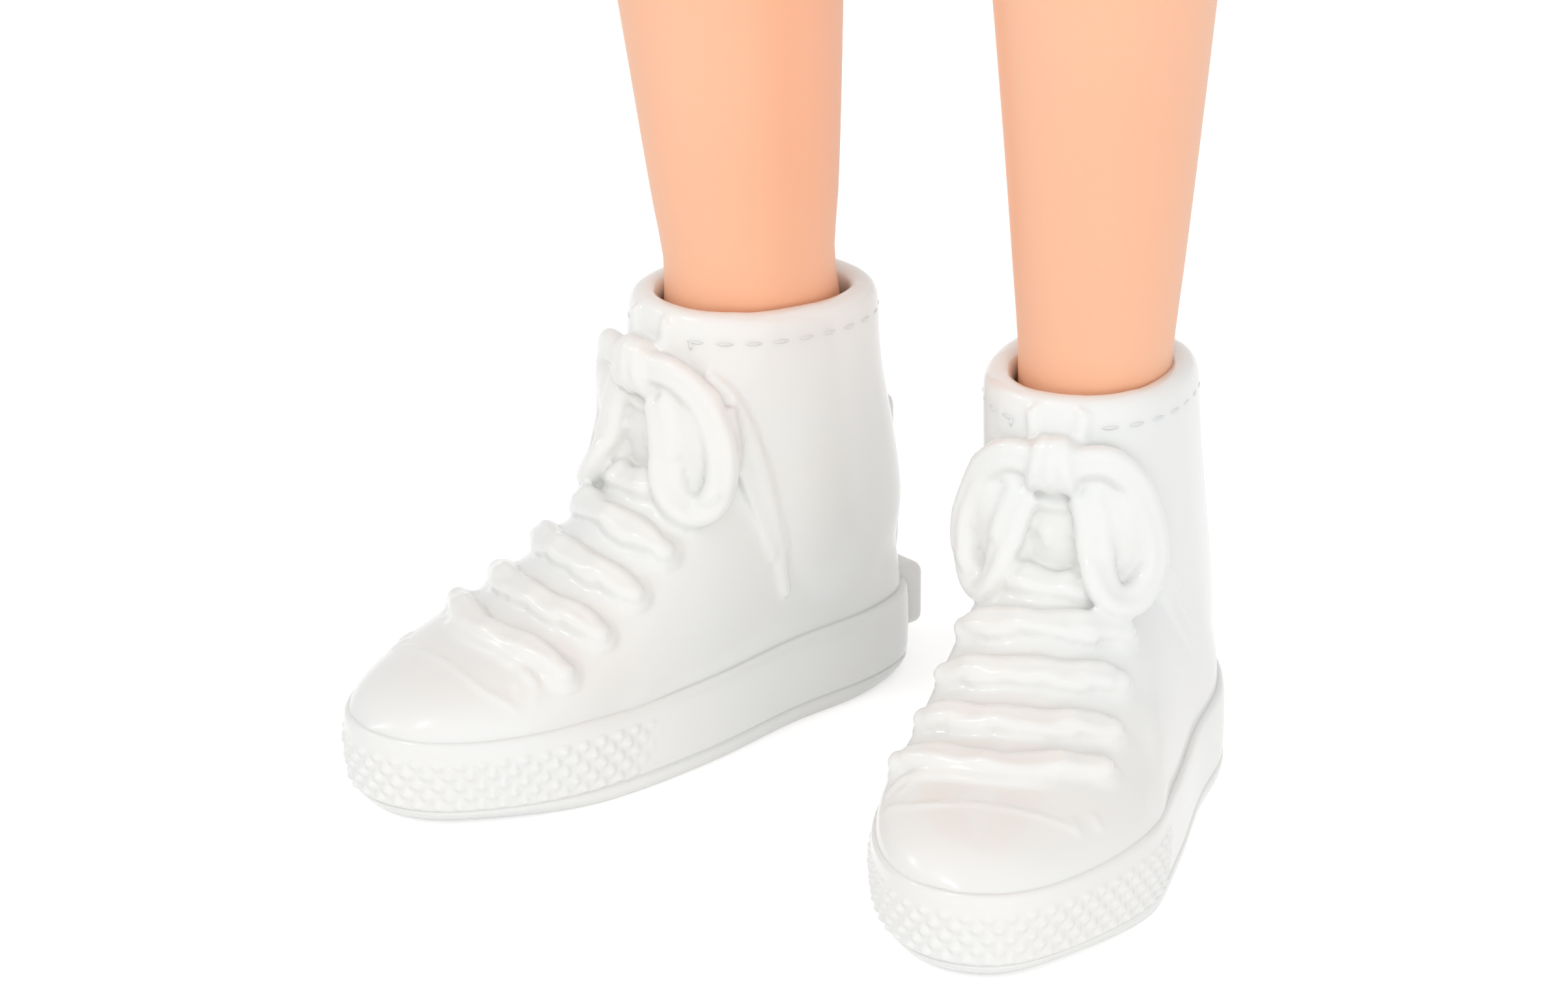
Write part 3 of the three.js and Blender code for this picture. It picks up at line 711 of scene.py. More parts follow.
def hair_finish(name, colour):
    """Rooted hair: fine strands that run to the knot, with painted shade between them and a painted sheen
    along them, over streaks of the hair's own tone.
    """
    finish = Finish(name, IOR=1.55)
    turned = finish.node(
        "ShaderNodeVectorRotate",
        {"rotation_type": "X_AXIS"},
        {"Vector": finish.where(), "Center": (HEAD + TO_FRAME) * MM, "Angle": KNOT_LEAN},
    )
    across, deep, rise = finish.axes(turned)
    deep = deep - (HEAD + TO_FRAME).y
    around = finish.math("ARCTAN2", deep, across)
    wander = finish.noise(9, detail=2) * 0.9
    strand = (around * 230 + wander * 12 + rise * 0.2).sine() * 0.5 + 0.5
    lock = (around * 37 + wander * 14).sine() * 0.5 + 0.5
    streak = finish.noise(1.1, detail=4)
    # Painted shade and sheen: the colour follows the waves of the relief, dark in the grooves between
    # strands and locks and light along them; the streaks are the hair's own tone.
    dark = tinted(colour, 0.5)
    light = tuple(min(c * 1.5 + 0.004, 1) for c in colour)
    painted_shade_and_sheen = finish.blend(strand * 0.5 + lock * 0.3 + streak * 0.35 - 0.05, dark, light)
    finish.set("Base Color", painted_shade_and_sheen)
    finish.set("Roughness", 0.34 + strand * 0.14)
    finish.relief(strand * 0.6 + lock * 0.4, 0.07)
    return finish


def round_body(finish):
    """How far a place lies round the body and up it, in millimetres."""
    x, y, z = finish.axes()
    return finish.math("ARCTAN2", x, HIP.y - y) * MEAN_RADIUS, z


def wave(way, length):
    """A wave from -1 to 1 along a way, with a length in millimetres."""
    return (way * (2 * math.pi / length)).sine()


def cloth_finish(name, colour, roughness):
    """Soft thread: fuzzy, with a fine twist."""
    finish = Finish(name, Roughness=roughness, Sheen_Weight=0.2)
    dark = tinted(colour, 0.72)
    finish.set("Base Color", finish.blend(finish.noise(0.35, detail=4).within(0.35, 0.65), dark, colour))
    finish.relief(finish.noise(0.18), 0.04)
    return finish


def knit_finish(name, colour):
    """Jersey: columns of small loops with painted shade in the hollows between them, with slubs and a soft
    nap.
    """
    finish = Finish(name, Roughness=0.85, Sheen_Weight=0.25)
    around, z = round_body(finish)
    ribs, rows = wave(around, 0.62), wave(z, 0.46)
    loop = abs(ribs) * 0.6 + (rows * 0.5 + 0.5) * 0.4 * (1 - abs(ribs) * 0.5)
    slub = finish.noise(1.6, detail=4, stretch=(1, 1, 0.4)).within(0.4, 0.65)
    # Painted shade: the colour darkens where the loops' relief sinks, between the columns and rows; the
    # slubs are the yarn's own.
    dark = tinted(colour, 0.84, 0.83, 0.81)
    finish.set("Base Color", finish.blend(loop * 0.6 + slub * 0.4, dark, colour))
    finish.relief(loop, 0.12)
    return finish


def denim_finish(name, colour):
    """Washed denim: a diagonal twill of blue and white threads, with painted shade in its grooves, faded in
    patches.
    """
    finish = Finish(name, Roughness=0.9, Sheen_Weight=0.15)
    around, z = round_body(finish)
    twill = wave(around + z * 1.7, 0.62) * 0.5 + 0.5
    weft = finish.noise(0.3, detail=4)
    fade = finish.noise(16, detail=2).within(0.3, 0.75)
    pale = tuple(mix(c, 0.62, 0.42) for c in colour)
    # The twill's lines are the weave's own; their darkening where the relief sinks is painted shade in the
    # grooves.
    dark = tinted(colour, 0.62)
    thread = finish.blend(twill * 0.75 + weft * 0.3 - 0.05, dark, colour)
    worn = finish.blend(fade * 0.25 + weft.within(0.5, 0.72) * 0.3, thread, pale)
    finish.set("Base Color", worn)
    finish.relief(twill * 0.7 + weft * 0.3, 0.1)
    return finish


# Sneakers, in the left foot's own frame: its ankle over the origin and its toe towards -Y

# The edge of the sole, seen from above.
SOLE_OUTLINE = [
    (0.23, 8.59), (-3.04, 7.26), (-4.46, 3.94), (-4.77, -1.40), (-5.67, -7.37), (-5.92, -13.00),
    (-5.29, -18.27), (-3.38, -22.06), (-0.57, -23.77), (2.64, -23.26), (5.31, -19.96),
    (7.00, -14.81), (6.89, -9.00), (6.33, -3.01), (6.08, 2.48), (4.08, 7.07),
]
# The upper along the foot: place, height of its ridge and squareness of its arch.
VAMP = Rows([
    (4.2, 12.41, 2.4), (0, 15.74, 2.2), (-4, 15.2, 2), (-7, 13.6, 2), (-9.6, 11.75, 2),
    (-12.2, 9.85, 2.1), (-15, 8.34, 2.2), (-17.8, 7.4, 2.3), (-20.4, 6.68, 2.3),
    (-22, 6.08, 2.3), (-23, 5.35, 2.2), (-23.6, 4.75, 2.1), (-23.85, 4.55, 2),
])
# The ankle of the upper: height, centre across and along, half width, depth forward and depth back.
SHAFT = Rows([
    (2.5, 0.55, 0.7, 4.6, 6, 7.0), (5.5, 0.6, 0.7, 4.8, 6, 7.2), (9, 0.3, 0.95, 5.02, 6.1, 7.2),
    (13, 0.1, 0.5, 5.0, 6.6, 6.9), (17, 0, 0.1, 4.9, 6.85, 6.4), (21.3, -0.1, -0.15, 4.82, 6.5, 6.3),
])
COLLAR_HEIGHT = 21.3
COLLAR_RISE = 0.07
COLLAR_WALL = 1.45
BAND_HEIGHT = 4.4
UPPER_BASE = 2.0
OUTSOLE = 0.85
LEDGE = 0.42
TOE_LEDGE = 0.1
# Each lace bar from the inner eyelet over its middle to the outer eyelet.
LACE_BARS = [
    ((-4.6, -16.0, 6.8), (0.4, -16.9, 8.0), (4.7, -15.0, 7.7)),
    ((-4.3, -13.5, 8.1), (0.4, -14.3, 9.1), (4.6, -12.7, 8.7)),
    ((-3.9, -11.1, 9.3), (0.4, -11.8, 10.4), (4.3, -10.2, 9.9)),
    ((-3.5, -8.9, 10.7), (0.4, -9.6, 11.8), (4.0, -7.9, 11.3)),
    ((-2.6, -7.1, 12.7), (0.3, -8.2, 13.4), (3.0, -7.0, 12.9)),
    ((-1.7, -6.6, 14.7), (0.3, -7.4, 15.0), (2.0, -6.8, 14.8)),
]
STRAND_REACH = 0.62
# The bow's loops: each leaves the knot, droops and comes back under it.
OUTER_LOOP = [
    (0.9, -7.4, 18.9), (2.5, -7.0, 19.0), (3.5, -6.4, 18.0), (4.1, -5.9, 16.4), (4.4, -5.6, 14.6),
    (4.35, -6.0, 13.2), (3.9, -6.9, 12.4), (3.1, -7.7, 12.5), (2.5, -7.8, 13.5), (2.1, -7.4, 15.0),
    (1.9, -7.2, 16.4), (1.5, -7.1, 17.4),
]
INNER_LOOP = [
    (-0.8, -7.4, 18.9), (-2.2, -7.1, 18.9), (-3.4, -6.5, 17.9), (-4.1, -6.1, 16.4),
    (-4.5, -6.0, 14.9), (-4.4, -6.1, 13.4), (-3.9, -6.5, 12.4), (-3.1, -7.2, 12.3),
    (-2.5, -7.6, 13.3), (-2.15, -7.5, 14.8), (-1.75, -7.3, 16.3), (-1.3, -7.2, 17.3),
]
INNER_TAIL = [
    (-2.9, -6.1, 18.4), (-3.5, -5.2, 17.5), (-3.9, -4.4, 15.7), (-4.15, -3.7, 13.4),
    (-4.3, -3.1, 11.5), (-4.45, -2.3, 9.0),
]
INNER_TIP = [(-4.45, -2.2, 8.9), (-4.5, -2.1, 7.8), (-4.55, -1.95, 6.8)]
OUTER_TAIL = [(4.2, -4.6, 14.0), (4.5, -3.5, 12.3), (5.2, -2.6, 10.1), (5.6, -1.6, 8.1)]
# The rim of the toe cap, and the faint line in front of it.
TOE_RIM = [
    (-4.9, -17.2, 5.6), (-4.3, -17.4, 6.6), (-3.4, -17.5, 7.2), (-2.2, -17.7, 7.6),
    (0.2, -17.8, 7.8), (2.4, -17.3, 7.7), (3.7, -16.6, 7.3),
]
TOE_LINE = [
    (-4.4, -18.7, 5.6), (-3.0, -19.6, 6.7), (-0.6, -19.6, 7.4), (1.8, -19.4, 7.4),
    (3.7, -19.2, 7.0), (4.9, -19.0, 6.3),
]
# Short folds where the toe cap meets the upper.
PLEATS = [
    ((-3.6, -17.8, 7.2), (-4.0, -18.3, 6.6)), ((-4.3, -17.4, 6.5), (-4.7, -17.8, 5.9)),
    ((4.4, -18.6, 6.9), (4.7, -19.1, 6.4)), ((5.0, -17.6, 6.6), (5.4, -18.0, 5.9)),
]
# From the left foot's own frame to its place under the doll.
UNDER_LEG = Matrix.Translation((ANKLE_X, 0, 0)) @ Matrix.Rotation(TOE_OUT, 4, "Z")


def make_outline():
    """The edge of the sole as evenly spaced points."""
    points = evened(curve_through([(x, y, 0) for x, y in SOLE_OUTLINE], 640, closed=True), 0.15, 0)
    turned = sum((a.x * b.y - b.x * a.y) for a, b in zip(points, points[1:] + points[:1]))
    return points if turned > 0 else points[::-1]


OUTLINE = make_outline()
OUTLINE_LENGTH = distances(OUTLINE + OUTLINE[:1])[-1]


def outline_at(share):
    """A point round the sole, from 0 to 1, and the way out there."""
    count = len(OUTLINE)
    at = (share % 1) * count
    n = int(at)
    before, a, b, after = (OUTLINE[(n + k) % count] for k in (-1, 0, 1, 2))
    ahead = (b - before).lerp(after - a, at - n).normalized()
    return a.lerp(b, at - n), Vector((ahead.y, -ahead.x, 0))


def sole_span(along):
    """How far the sole reaches towards the inside and the outside at a place along the foot."""
    crossings = [
        mix(a.x, b.x, (along - a.y) / (b.y - a.y))
        for a, b in zip(OUTLINE, OUTLINE[1:] + OUTLINE[:1])
        if (a.y - along) * (b.y - along) <= 0 and a.y != b.y
    ]
    return min(crossings), max(crossings)


def vamp_sections():
    """Each section of the arch: its place along the foot, its ridge, its two half widths and its shape."""
    sections = []
    for along in steps(4.2, -23.85, 70):
        inside, outside = sole_span(along)
        inset = mix(LEDGE, TOE_LEDGE, smooth(-along, 12, 16))
        ridge = 0.4 * (inside + outside) / 2 - 0.45 * smooth(along, -23.6, -18)
        height, power = VAMP(along)
        sections.append((along, ridge, ridge - inside - inset, outside - inset - ridge, height, power))
    return sections


def vamp_point(section, turn):
    """The arch over the foot from the top of the band, and its straight sides below."""
    along, ridge, inside, outside, height, power = section
    half = max(outside if math.cos(turn) > 0 else inside, 0.05)
    power += -0.35 if math.cos(turn) > 0 else 0.1
    if math.sin(turn) < 0:
        power = 8
    rise = height - BAND_HEIGHT if math.sin(turn) > 0 else BAND_HEIGHT - UPPER_BASE
    x = ridge + half * signed_power(math.cos(turn), 2 / power)
    return Vector((x, along, BAND_HEIGHT + rise * signed_power(math.sin(turn), 2 / power)))


def skirt_point(row, turn):
    """The foot of the upper all round, just inside the band's edge."""
    height, inset = row
    at, out = outline_at(turn / (2 * math.pi))
    toe = smooth(-at.y, 9, 15)
    place = at - out * mix(inset, inset - LEDGE + TOE_LEDGE, toe)
    return Vector((place.x, place.y, mix(height, min(height, BAND_HEIGHT), toe)))


def shaft_point(height, turn, inset=0.0):
    """A place on the ankle of the upper, whose rim climbs towards the front."""
    x, y, half, front, back = SHAFT(height)
    depth = back if math.sin(turn) > 0 else front
    across = (half - inset) * signed_power(math.cos(turn), 2 / SQUARE)
    deep = (depth - inset) * signed_power(math.sin(turn), 2 / SQUARE)
    rise = -COLLAR_RISE * (y + deep) * smooth(height, 13, COLLAR_HEIGHT)
    return Vector((x + across, y + deep, height + rise))


def shaft_form():
    """The ankle with its rounded rim, turned in to the well that the leg stands in."""
    outer = [(height, 0.0) for height in steps(2.4, COLLAR_HEIGHT - 0.75, 26)]
    lip = [
        (COLLAR_HEIGHT - 0.75 + 0.75 * math.sin(a), COLLAR_WALL / 2 * (1 - math.cos(a)))
        for a in steps(0, math.pi, 10)[1:]
    ]
    inner = [(height, COLLAR_WALL) for height in steps(COLLAR_HEIGHT - 1.2, 14, 5)]
    return loft(outer + lip + inner, 72, lambda row, turn: shaft_point(row[0], turn, row[1]))


def upper_base():
    """The plain upper: the arch over the foot run softly into the ankle."""
    arch = loft(vamp_sections(), 96, vamp_point)
    rows = [(2.0, LEDGE), (4.6, LEDGE), (5.6, LEDGE + 0.1), (6.8, 0.75), (8.0, 1.4)]
    skirt = loft(rows, 220, skirt_point)
    return fused([arch, skirt, shaft_form()], voxel=0.28, passes=9)


def strap(tree, points, width, height, groove=0.0, square=2.0):
    """A band that lies on a surface along points. A groove parts it into two strands.

    width and height, from its middle, are numbers or functions of the share of the way.
    """
    wide, high = (w if callable(w) else lambda share, w=w: w for w in (width, height))
    last = len(points) - 1
    frames = []
    for k, point in enumerate(points):
        ahead = Vector(points[min(k + 1, last)]) - Vector(points[max(k - 1, 0)])
        normal = tree.find_nearest(Vector(point))[1]
        side = normal.cross(ahead).normalized()
        frames.append((side, ahead.cross(side).normalized()))

    def place(k, turn):
        side, rise = frames[k]
        across, up = signed_power(math.cos(turn), 2 / square), signed_power(math.sin(turn), 2 / square)
        if up > 0:
            up *= 1 - groove * bell(across, 0, 0.34)
        return Vector(points[k]) + side * across * wide(k / last) + rise * up * high(k / last)

    return loft(range(last + 1), 24, place)


def crossing_strands(tree, middle, ends, bar_below):
    """The short strands that run from under the middle of a lace bar towards the eyelets of the next."""
    parts = []
    for end, below in zip(ends, (bar_below[0], bar_below[2])):
        start = Vector(middle) + Vector((math.copysign(0.8, end[0]), -0.35, 0))
        goal = Vector(middle).lerp(Vector(end) * 0.6 + Vector(below) * 0.4, STRAND_REACH)
        strand = hugging(tree, curve_through((start, (start + goal) / 2, goal), 14), 0.12)
        parts.append(strap(tree, strand, lambda share: 0.5 - 0.15 * (2 * share - 1) ** 2, 0.5))
    return parts


def lace_bars(tree):
    """Each bar is a fat crumpled strand between two eyelets, with a shorter one under either half of it."""
    parts = []
    rng = random.Random(5)
    for n, (inner, middle, outer) in enumerate(LACE_BARS):
        over = hugging(tree, curve_through((inner, middle, outer), 36), 0.1)
        a, b, c = (rng.uniform(0, 2 * math.pi) for _ in range(3))

        def wide(share):
            ends = smooth(abs(2 * share - 1), 0.6, 0.95)
            return 0.74 - 0.16 * ends + 0.09 * math.sin(16 * share + a)

        def high(share):
            ends, dip = smooth(abs(2 * share - 1), 0.75, 1), bell(share, 0.5, 0.14)
            ripple = 0.1 * math.sin(21 * share + b) + 0.05 * math.sin(37 * share + c)
            return 0.76 - 0.2 * ends - 0.16 * dip + ripple

        parts.append(strap(tree, over, wide, high, 0.22))
        for end in (inner, outer):
            place, normal, _, _ = tree.find_nearest(Vector(end))
            turned = normal.to_track_quat("Z", "Y").to_matrix()
            parts.append(ball(place, (0.98, 0.95, 0.3), 24, 12, turned))
            parts.append(ball(place + normal * 0.3, (0.58, 0.55, 0.45), 18, 12, turned))
        if 0 < n < 4:
            parts += crossing_strands(tree, middle, (inner, outer), LACE_BARS[n - 1])
    return parts


def bow_parts(tree):
    """The knot, the two loops that droop from it, and the two tails, the inner one with its tip."""
    parts = []
    for marks in (OUTER_LOOP, INNER_LOOP):
        loop = curve_through(marks, 66)
        broad = lambda share: 0.8 + 0.12 * smooth(share, 0.5, 0.7)
        parts.append(strap(tree, loop, broad, lambda share: 0.6 + 0.1 * bell(share, 0.5, 0.2), 0.26))
        side = math.copysign(1, marks[0][0])
        lean = Matrix.Rotation(side * 0.2, 3, "Y") @ Matrix.Rotation(side * 0.5, 3, "Z")
        parts.append(ball((side * 3.0, -6.25, 15.4), (1.5, 0.8, 3.3), 28, 18, lean))
        parts.append(ball((side * 1.7, -6.7, 17.7), (1.0, 0.7, 0.8), 18, 12))
        under = [(side * 3.6, -5.0, 17.2), (side * 4.0, -5.0, 14.8), (side * 3.7, -5.6, 13.0)]
        parts.append(strap(tree, curve_through(under, 12), 0.5, 1.0))
    for x, y, turn in ((-0.6, -7.5, 0.2), (0.1, -7.6, 0.05), (0.75, -7.5, -0.16)):
        lobe = Matrix.Rotation(turn, 3, "Y")
        parts.append(ball((x, y, 18.8), (0.5, 0.85, 1.5), 20, 14, lobe))
    parts.append(worn_block((-0.95, -8.2, 17.55), (1.15, -6.6, 20.05), 0.5))
    parts.append(ball((0.2, -6.3, 15.2), (2.6, 0.85, 3.4), 24, 16))
    for side in (-1, 1):
        parts.append(ball((side * 2.0, -6.75, 13.9), (1.0, 0.8, 1.5), 18, 12))
        parts.append(ball((side * 2.5, -7.0, 12.1), (1.2, 0.9, 1.1), 18, 12))
    cross = curve_through([(-1.5, -7.0, 16.9), (0.1, -7.2, 16.6), (1.6, -7.0, 16.9)], 14)
    parts.append(strap(tree, hugging(tree, cross, 0.2), 0.42, 0.42))
    tail = hugging(tree, curve_through(INNER_TAIL, 40), 0.0)
    parts.append(strap(tree, tail, lambda share: 0.76 - 0.22 * smooth(share, 0.6, 1), 0.34, 0.2, 5))
    tip = hugging(tree, curve_through(INNER_TIP, 14), 0.0)
    parts.append(strap(tree, tip, lambda share: 0.36 - 0.2 * smooth(share, 0.75, 1), 0.34, 0.0, 2))
    parts.append(strap(tree, hugging(tree, curve_through(OUTER_TAIL, 30), 0.0), 0.6, 0.2, 0.2, 4))
    return parts


def tongue_parts(tree):
    """Folds in the tongue above the knot, and the pleats, rim and line of the toe cap."""
    parts = []
    for x in (-1.5, 1.6):
        fold = curve_through([(x * 0.85, -7.0, 21.3), (x * 0.8, -7.2, 20.2), (x * 0.7, -7.4, 19.2)], 12)
        parts.append(tube(hugging(tree, fold, -0.12), 0.42, 10))
    rim = lambda share, turn: mix(0.08, 0.32, smooth(0.5 - abs(share - 0.5), 0.02, 0.25))
    parts.append(tube(hugging(tree, curve_through(TOE_RIM, 60), -0.08), rim, 10))
    parts.append(tube(hugging(tree, curve_through(TOE_LINE, 60), -0.06), 0.17, 8))
    for pleat in PLEATS:
        parts.append(tube(hugging(tree, curve_through(pleat, 8), -0.06), 0.19, 8))
    return parts


def heel_parts():
    """The strip up the heel: a short step over a longer swell."""
    step = worn_block((-1.5, 6.0, 10.4), (1.5, 7.95, 13.9), 0.7)
    return [step, ball((0, 6.55, 7.0), (1.85, 2.15, 5.0), 32, 24)]


def shoe_upper():
    base = upper_base()
    tree = BVHTree.FromBMesh(base)
    details = lace_bars(tree) + bow_parts(tree) + tongue_parts(tree) + heel_parts()
    upper = fused([base, *details], voxel=0.16, passes=3)
    seam = [shaft_point(19.9, turn) for turn in steps(math.radians(-70), math.radians(250), 120)]
    stitches = sewn(seam, 0.95, 0.45, 0.12, tree, -0.06)
    post = sewn([(-2.4, -6.3, 20.6), (-2.5, -6.2, 18.9)], 0.6, 0.4, 0.12, tree, -0.05)
    return joined([upper, stitches, post])


def bumper(place):
    """How far forward a place on the sole lies in the toe's bumper, from 0 to 1."""
    return smooth(-place.y, 11.5, 16)


def sole_rows():
    """The band's profile: height, distance inwards and how much of the bumper a row carries."""
    under = [(0.0, 3.4, 0), (0.0, 1.2, 0), (0.0, 0.4, 0), (0.05, 0.16, 0), (0.2, 0.03, 0), (0.45, 0, 0)]
    line = [
        (OUTSOLE - 0.12, 0.0, 0.1), (OUTSOLE - 0.03, 0.06, 0.1), (OUTSOLE, 0.14, 0.2),
        (OUTSOLE + 0.08, 0.14, 0.4), (OUTSOLE + 0.14, 0.07, 0.8),
    ]
    heights = steps(OUTSOLE + 0.22, BAND_HEIGHT - 0.5, 36)
    wall = [(z, 0.03 + 0.05 * ((z - 2.6) / 1.5) ** 2, 1) for z in heights]
    top = [
        (BAND_HEIGHT - 0.32, 0.09, 1), (BAND_HEIGHT - 0.16, 0.12, 0.95), (BAND_HEIGHT - 0.05, 0.2, 0.85),
        (BAND_HEIGHT, 0.32, 0.7), (BAND_HEIGHT - 0.03, 0.5, 0.4), (BAND_HEIGHT - 0.15, 0.8, 0),
        (2.7, 1.3, 0), (2.5, 1.8, 0), (2.5, 3.4, 0),
    ]
    return under + line + wall + top


def shoe_sole(pitch, row_pitch, depth):
    """The band with its outsole line and ledge, and the toe's bumper with its lattice of rounded studs."""
    columns = round(OUTLINE_LENGTH / pitch)

    def place(row, turn):
        height, inset, carried = row
        share = turn / (2 * math.pi)
        at, out = outline_at(share)
        toe, heel = smooth(-at.y, 13.5, 21.5), smooth(at.y, 1, 7)
        tuck = toe * (0.5 * (1 - height / BAND_HEIGHT) + 0.75 * max(1 - height / 1.0, 0) ** 2)
        tuck += (0.15 + 0.45 * heel) * max(1 - height / 1.3, 0) ** 2
        u, v = share * columns, (height - OUTSOLE - 0.4) / (2 * row_pitch)
        stud = (math.cos(math.pi * (u + v)) * math.cos(math.pi * (u - v))) ** 2
        reach_back = smooth(-at.y, 11.2 - 0.25 * height, 14.2 - 0.25 * height)
        band = smooth(height, OUTSOLE + 0.12, OUTSOLE + 0.35) * (1 - smooth(height, 3.35, 3.7))
        studded = depth * stud ** 0.8 * reach_back * band
        moved = at + out * (0.2 * carried * bumper(at) - inset - tuck + studded)
        return Vector((moved.x, moved.y, height + 0.2 * bumper(at) * smooth(height, 3.0, BAND_HEIGHT)))

    return loft(sole_rows(), 720, place)


def heel_patch():
    """The block at the back of the band."""
    return worn_block((-2.1, 6.4, 1.5), (2.1, 9.2, 4.75), 0.55, 5)


# Legs

# The leg: height, half width, depth forward and depth back.
LEG = Rows([
    (3.0, 2.8, 14.4, 4.2), (4.4, 3.6, 15.6, 5.2), (6.2, 3.6, 14.2, 5.4), (8.2, 3.4, 10.8, 5.3),
    (10.4, 3.3, 7.6, 5.1), (13, 3.3, 5.4, 4.8), (16.5, 3.35, 4.8, 4.6), (19.5, 3.45, 4.8, 4.7),
    (20.8, 3.5, 4.6, 4.6), (22.5, 3.6, 4.3, 4.5), (26, 3.9, 4.6, 5.1), (32.5, 4.45, 5.1, 5.8),
    (40, 5.1, 5.7, 6.4), (49, 5.9, 6.1, 7.2), (59, 6.7, 6.6, 8.2), (68, 6.9, 6.8, 8.1),
    (76, 6.7, 7.1, 7.2), (83, 6.8, 7.5, 6.8), (91, 7.1, 7.3, 7.0), (103, 7.9, 7.8, 7.8),
    (118, 8.8, 8.7, 8.9), (132, 9.5, 9.5, 9.9), (144, 9.6, 9.9, 10.0), (154, 9.1, 9.7, 9.5),
    (159, 8.9, 8.4, 8.2), (162, 8.2, 6.2, 6.1), (163.6, 7.0, 3.8, 3.8), (164.3, 5.2, 1.8, 1.9),
])


def leg_point(height, turn, grow=0.0):
    """A place on the leg, which leans out and forward as it climbs, and turns out below the knee."""
    half, front, back = LEG(height)
    climb = min(max((height - 18) / (HIP.z - 18), 0), 1)
    x = mix(ANKLE_X, HIP.x, 1 - (1 - climb) ** 4)
    y = BODY_Y * (1 - (1 - climb) ** 1.4)
    yaw = TOE_OUT * (1 - smooth(height, 60, 145))
    depth = back if math.sin(turn) > 0 else front
    across, deep = math.cos(turn) * (half + grow), math.sin(turn) * (depth + grow)
    c, s = math.cos(yaw), math.sin(yaw)
    return Vector((x + across * c - deep * s, y + across * s + deep * c, height))


AXLE_RADIUS = 1.6
AXLE_HALF = 9.2
GAP = 0.3
CROTCH_REACH = 15.7
CROTCH_HALF = 3.0


def leg_form():
    """The leg from foot to hip, with room for the crotch and the axle, and slimmer under the shorts."""
    heights = steps(3.0, 20, 20) + steps(20, 158, 100)[1:] + steps(158, 164.3, 16)[1:]
    leg = loft(heights, 72, lambda height, turn: leg_point(height, turn, -0.8 * bell(height, 148, 7)))
    inner = crossbar(-5, CROTCH_HALF + GAP, HIP.z, CROTCH_REACH, 96)
    bore = crossbar(0, AXLE_HALF + 0.4, HIP.z, AXLE_RADIUS + GAP, 32)
    return carved(leg, inner, bore)


# Torso

# The torso: height, half width, depth forward and depth back.
BODY = Rows([
    (141, 3.4, 3.4, 3.8), (143, 4.6, 7.4, 7.8), (147, 8, 10.4, 10.9), (150.5, 14, 11.4, 12.3),
    (154, 18.5, 11.7, 13.5), (160, 20.4, 11.5, 14.8), (167, 20.6, 11.6, 14.6),
    (174, 18.8, 11.2, 12.8), (181, 16.2, 10.3, 10.6), (188, 14.6, 9.7, 9.2), (195, 14.8, 9.9, 8.9),
    (203, 16.2, 10.6, 9.2), (210, 17.4, 11.6, 9.6), (216, 18.0, 12.2, 10.0),
    (222, 18.2, 11.8, 10.2), (228, 19.0, 10.6, 10.2), (234, 19.3, 8.8, 9.6),
    (238.5, 18.0, 7.2, 8.4), (242, 13.2, 6.0, 7.2), (245, 7.6, 5.2, 6.0), (248.5, 5.1, 4.8, 5.0),
    (256, 4.7, 4.6, 4.7),
])
FRONT = -math.pi / 2
# Past every surface of the doll, for cutters.
FAR = 60
SHELL = 1.4
HIP_SEAT = 12.4
CROTCH_Z = 142.5
ARM_HOLE = 2.7
KNOB_RADIUS = 2.6
KNOB_BASE = 250.2


def bust(turn, height):
    """How far the chest stands forward of its oval section."""
    lift = bell(height, 216.5, 7.4)
    side = 0
    for middle in (FRONT - math.radians(32), FRONT + math.radians(32)):
        side += bell(math.remainder(turn - middle, 2 * math.pi), 0, math.radians(26))
    return 4.4 * lift * min(side, 1)


def body_point(height, turn, grow=0.0):
    half, front, back = BODY(height)
    depth = back if math.sin(turn) > 0 else front
    across = signed_power(math.cos(turn), 2 / SQUARE) * (half + grow)
    deep = signed_power(math.sin(turn), 2 / SQUARE) * (depth + grow) - bust(turn, height)
    return Vector((across, BODY_Y + deep, height))


def bare_point(height, turn):
    """The body's skin, with its collar bones, navel and the line of its back."""
    at = body_point(height, turn)
    if at.y < BODY_Y:
        line = 238.6 + 0.13 * abs(at.x)
        bone = bell(at.z, line, 0.9) * smooth(abs(at.x), 1.2, 2.6) * (1 - smooth(abs(at.x), 12, 15))
        notch = bell(at.x, 0, 1.3) * bell(at.z, 238.4, 1.4)
        navel = bell(at.x, 0, 0.75) * bell(at.z, 191, 1.1)
        at.y -= 0.45 * bone - 0.5 * notch - 1.0 * navel
    else:
        spine = bell(at.x, 0, 1.6) * smooth(at.z, 178, 190) * (1 - smooth(at.z, 228, 238))
        blade = (bell(at.x, 8.5, 3) + bell(at.x, -8.5, 3)) * bell(at.z, 226, 6)
        at.y += 0.5 * blade - 0.6 * spine
    return at


def body_form(low, high, place, count=120, rows=90):
    return loft(steps(low, high, rows), count, place)


def hip_room():
    """The room beside the crotch that the thighs swing in."""
    cutters = []
    for start, end in ((CROTCH_HALF, FAR), (-FAR, -CROTCH_HALF)):
        cutters.append(crossbar(start, end, HIP.z, HIP_SEAT, 96))
        cutters.append(block((start, -FAR, SHORTS_HEM), (end, BODY_Y, HIP.z + HIP_SEAT)))
        cutters.append(block((start, -FAR, SHORTS_HEM), (end, FAR, HIP.z)))
    return cutters


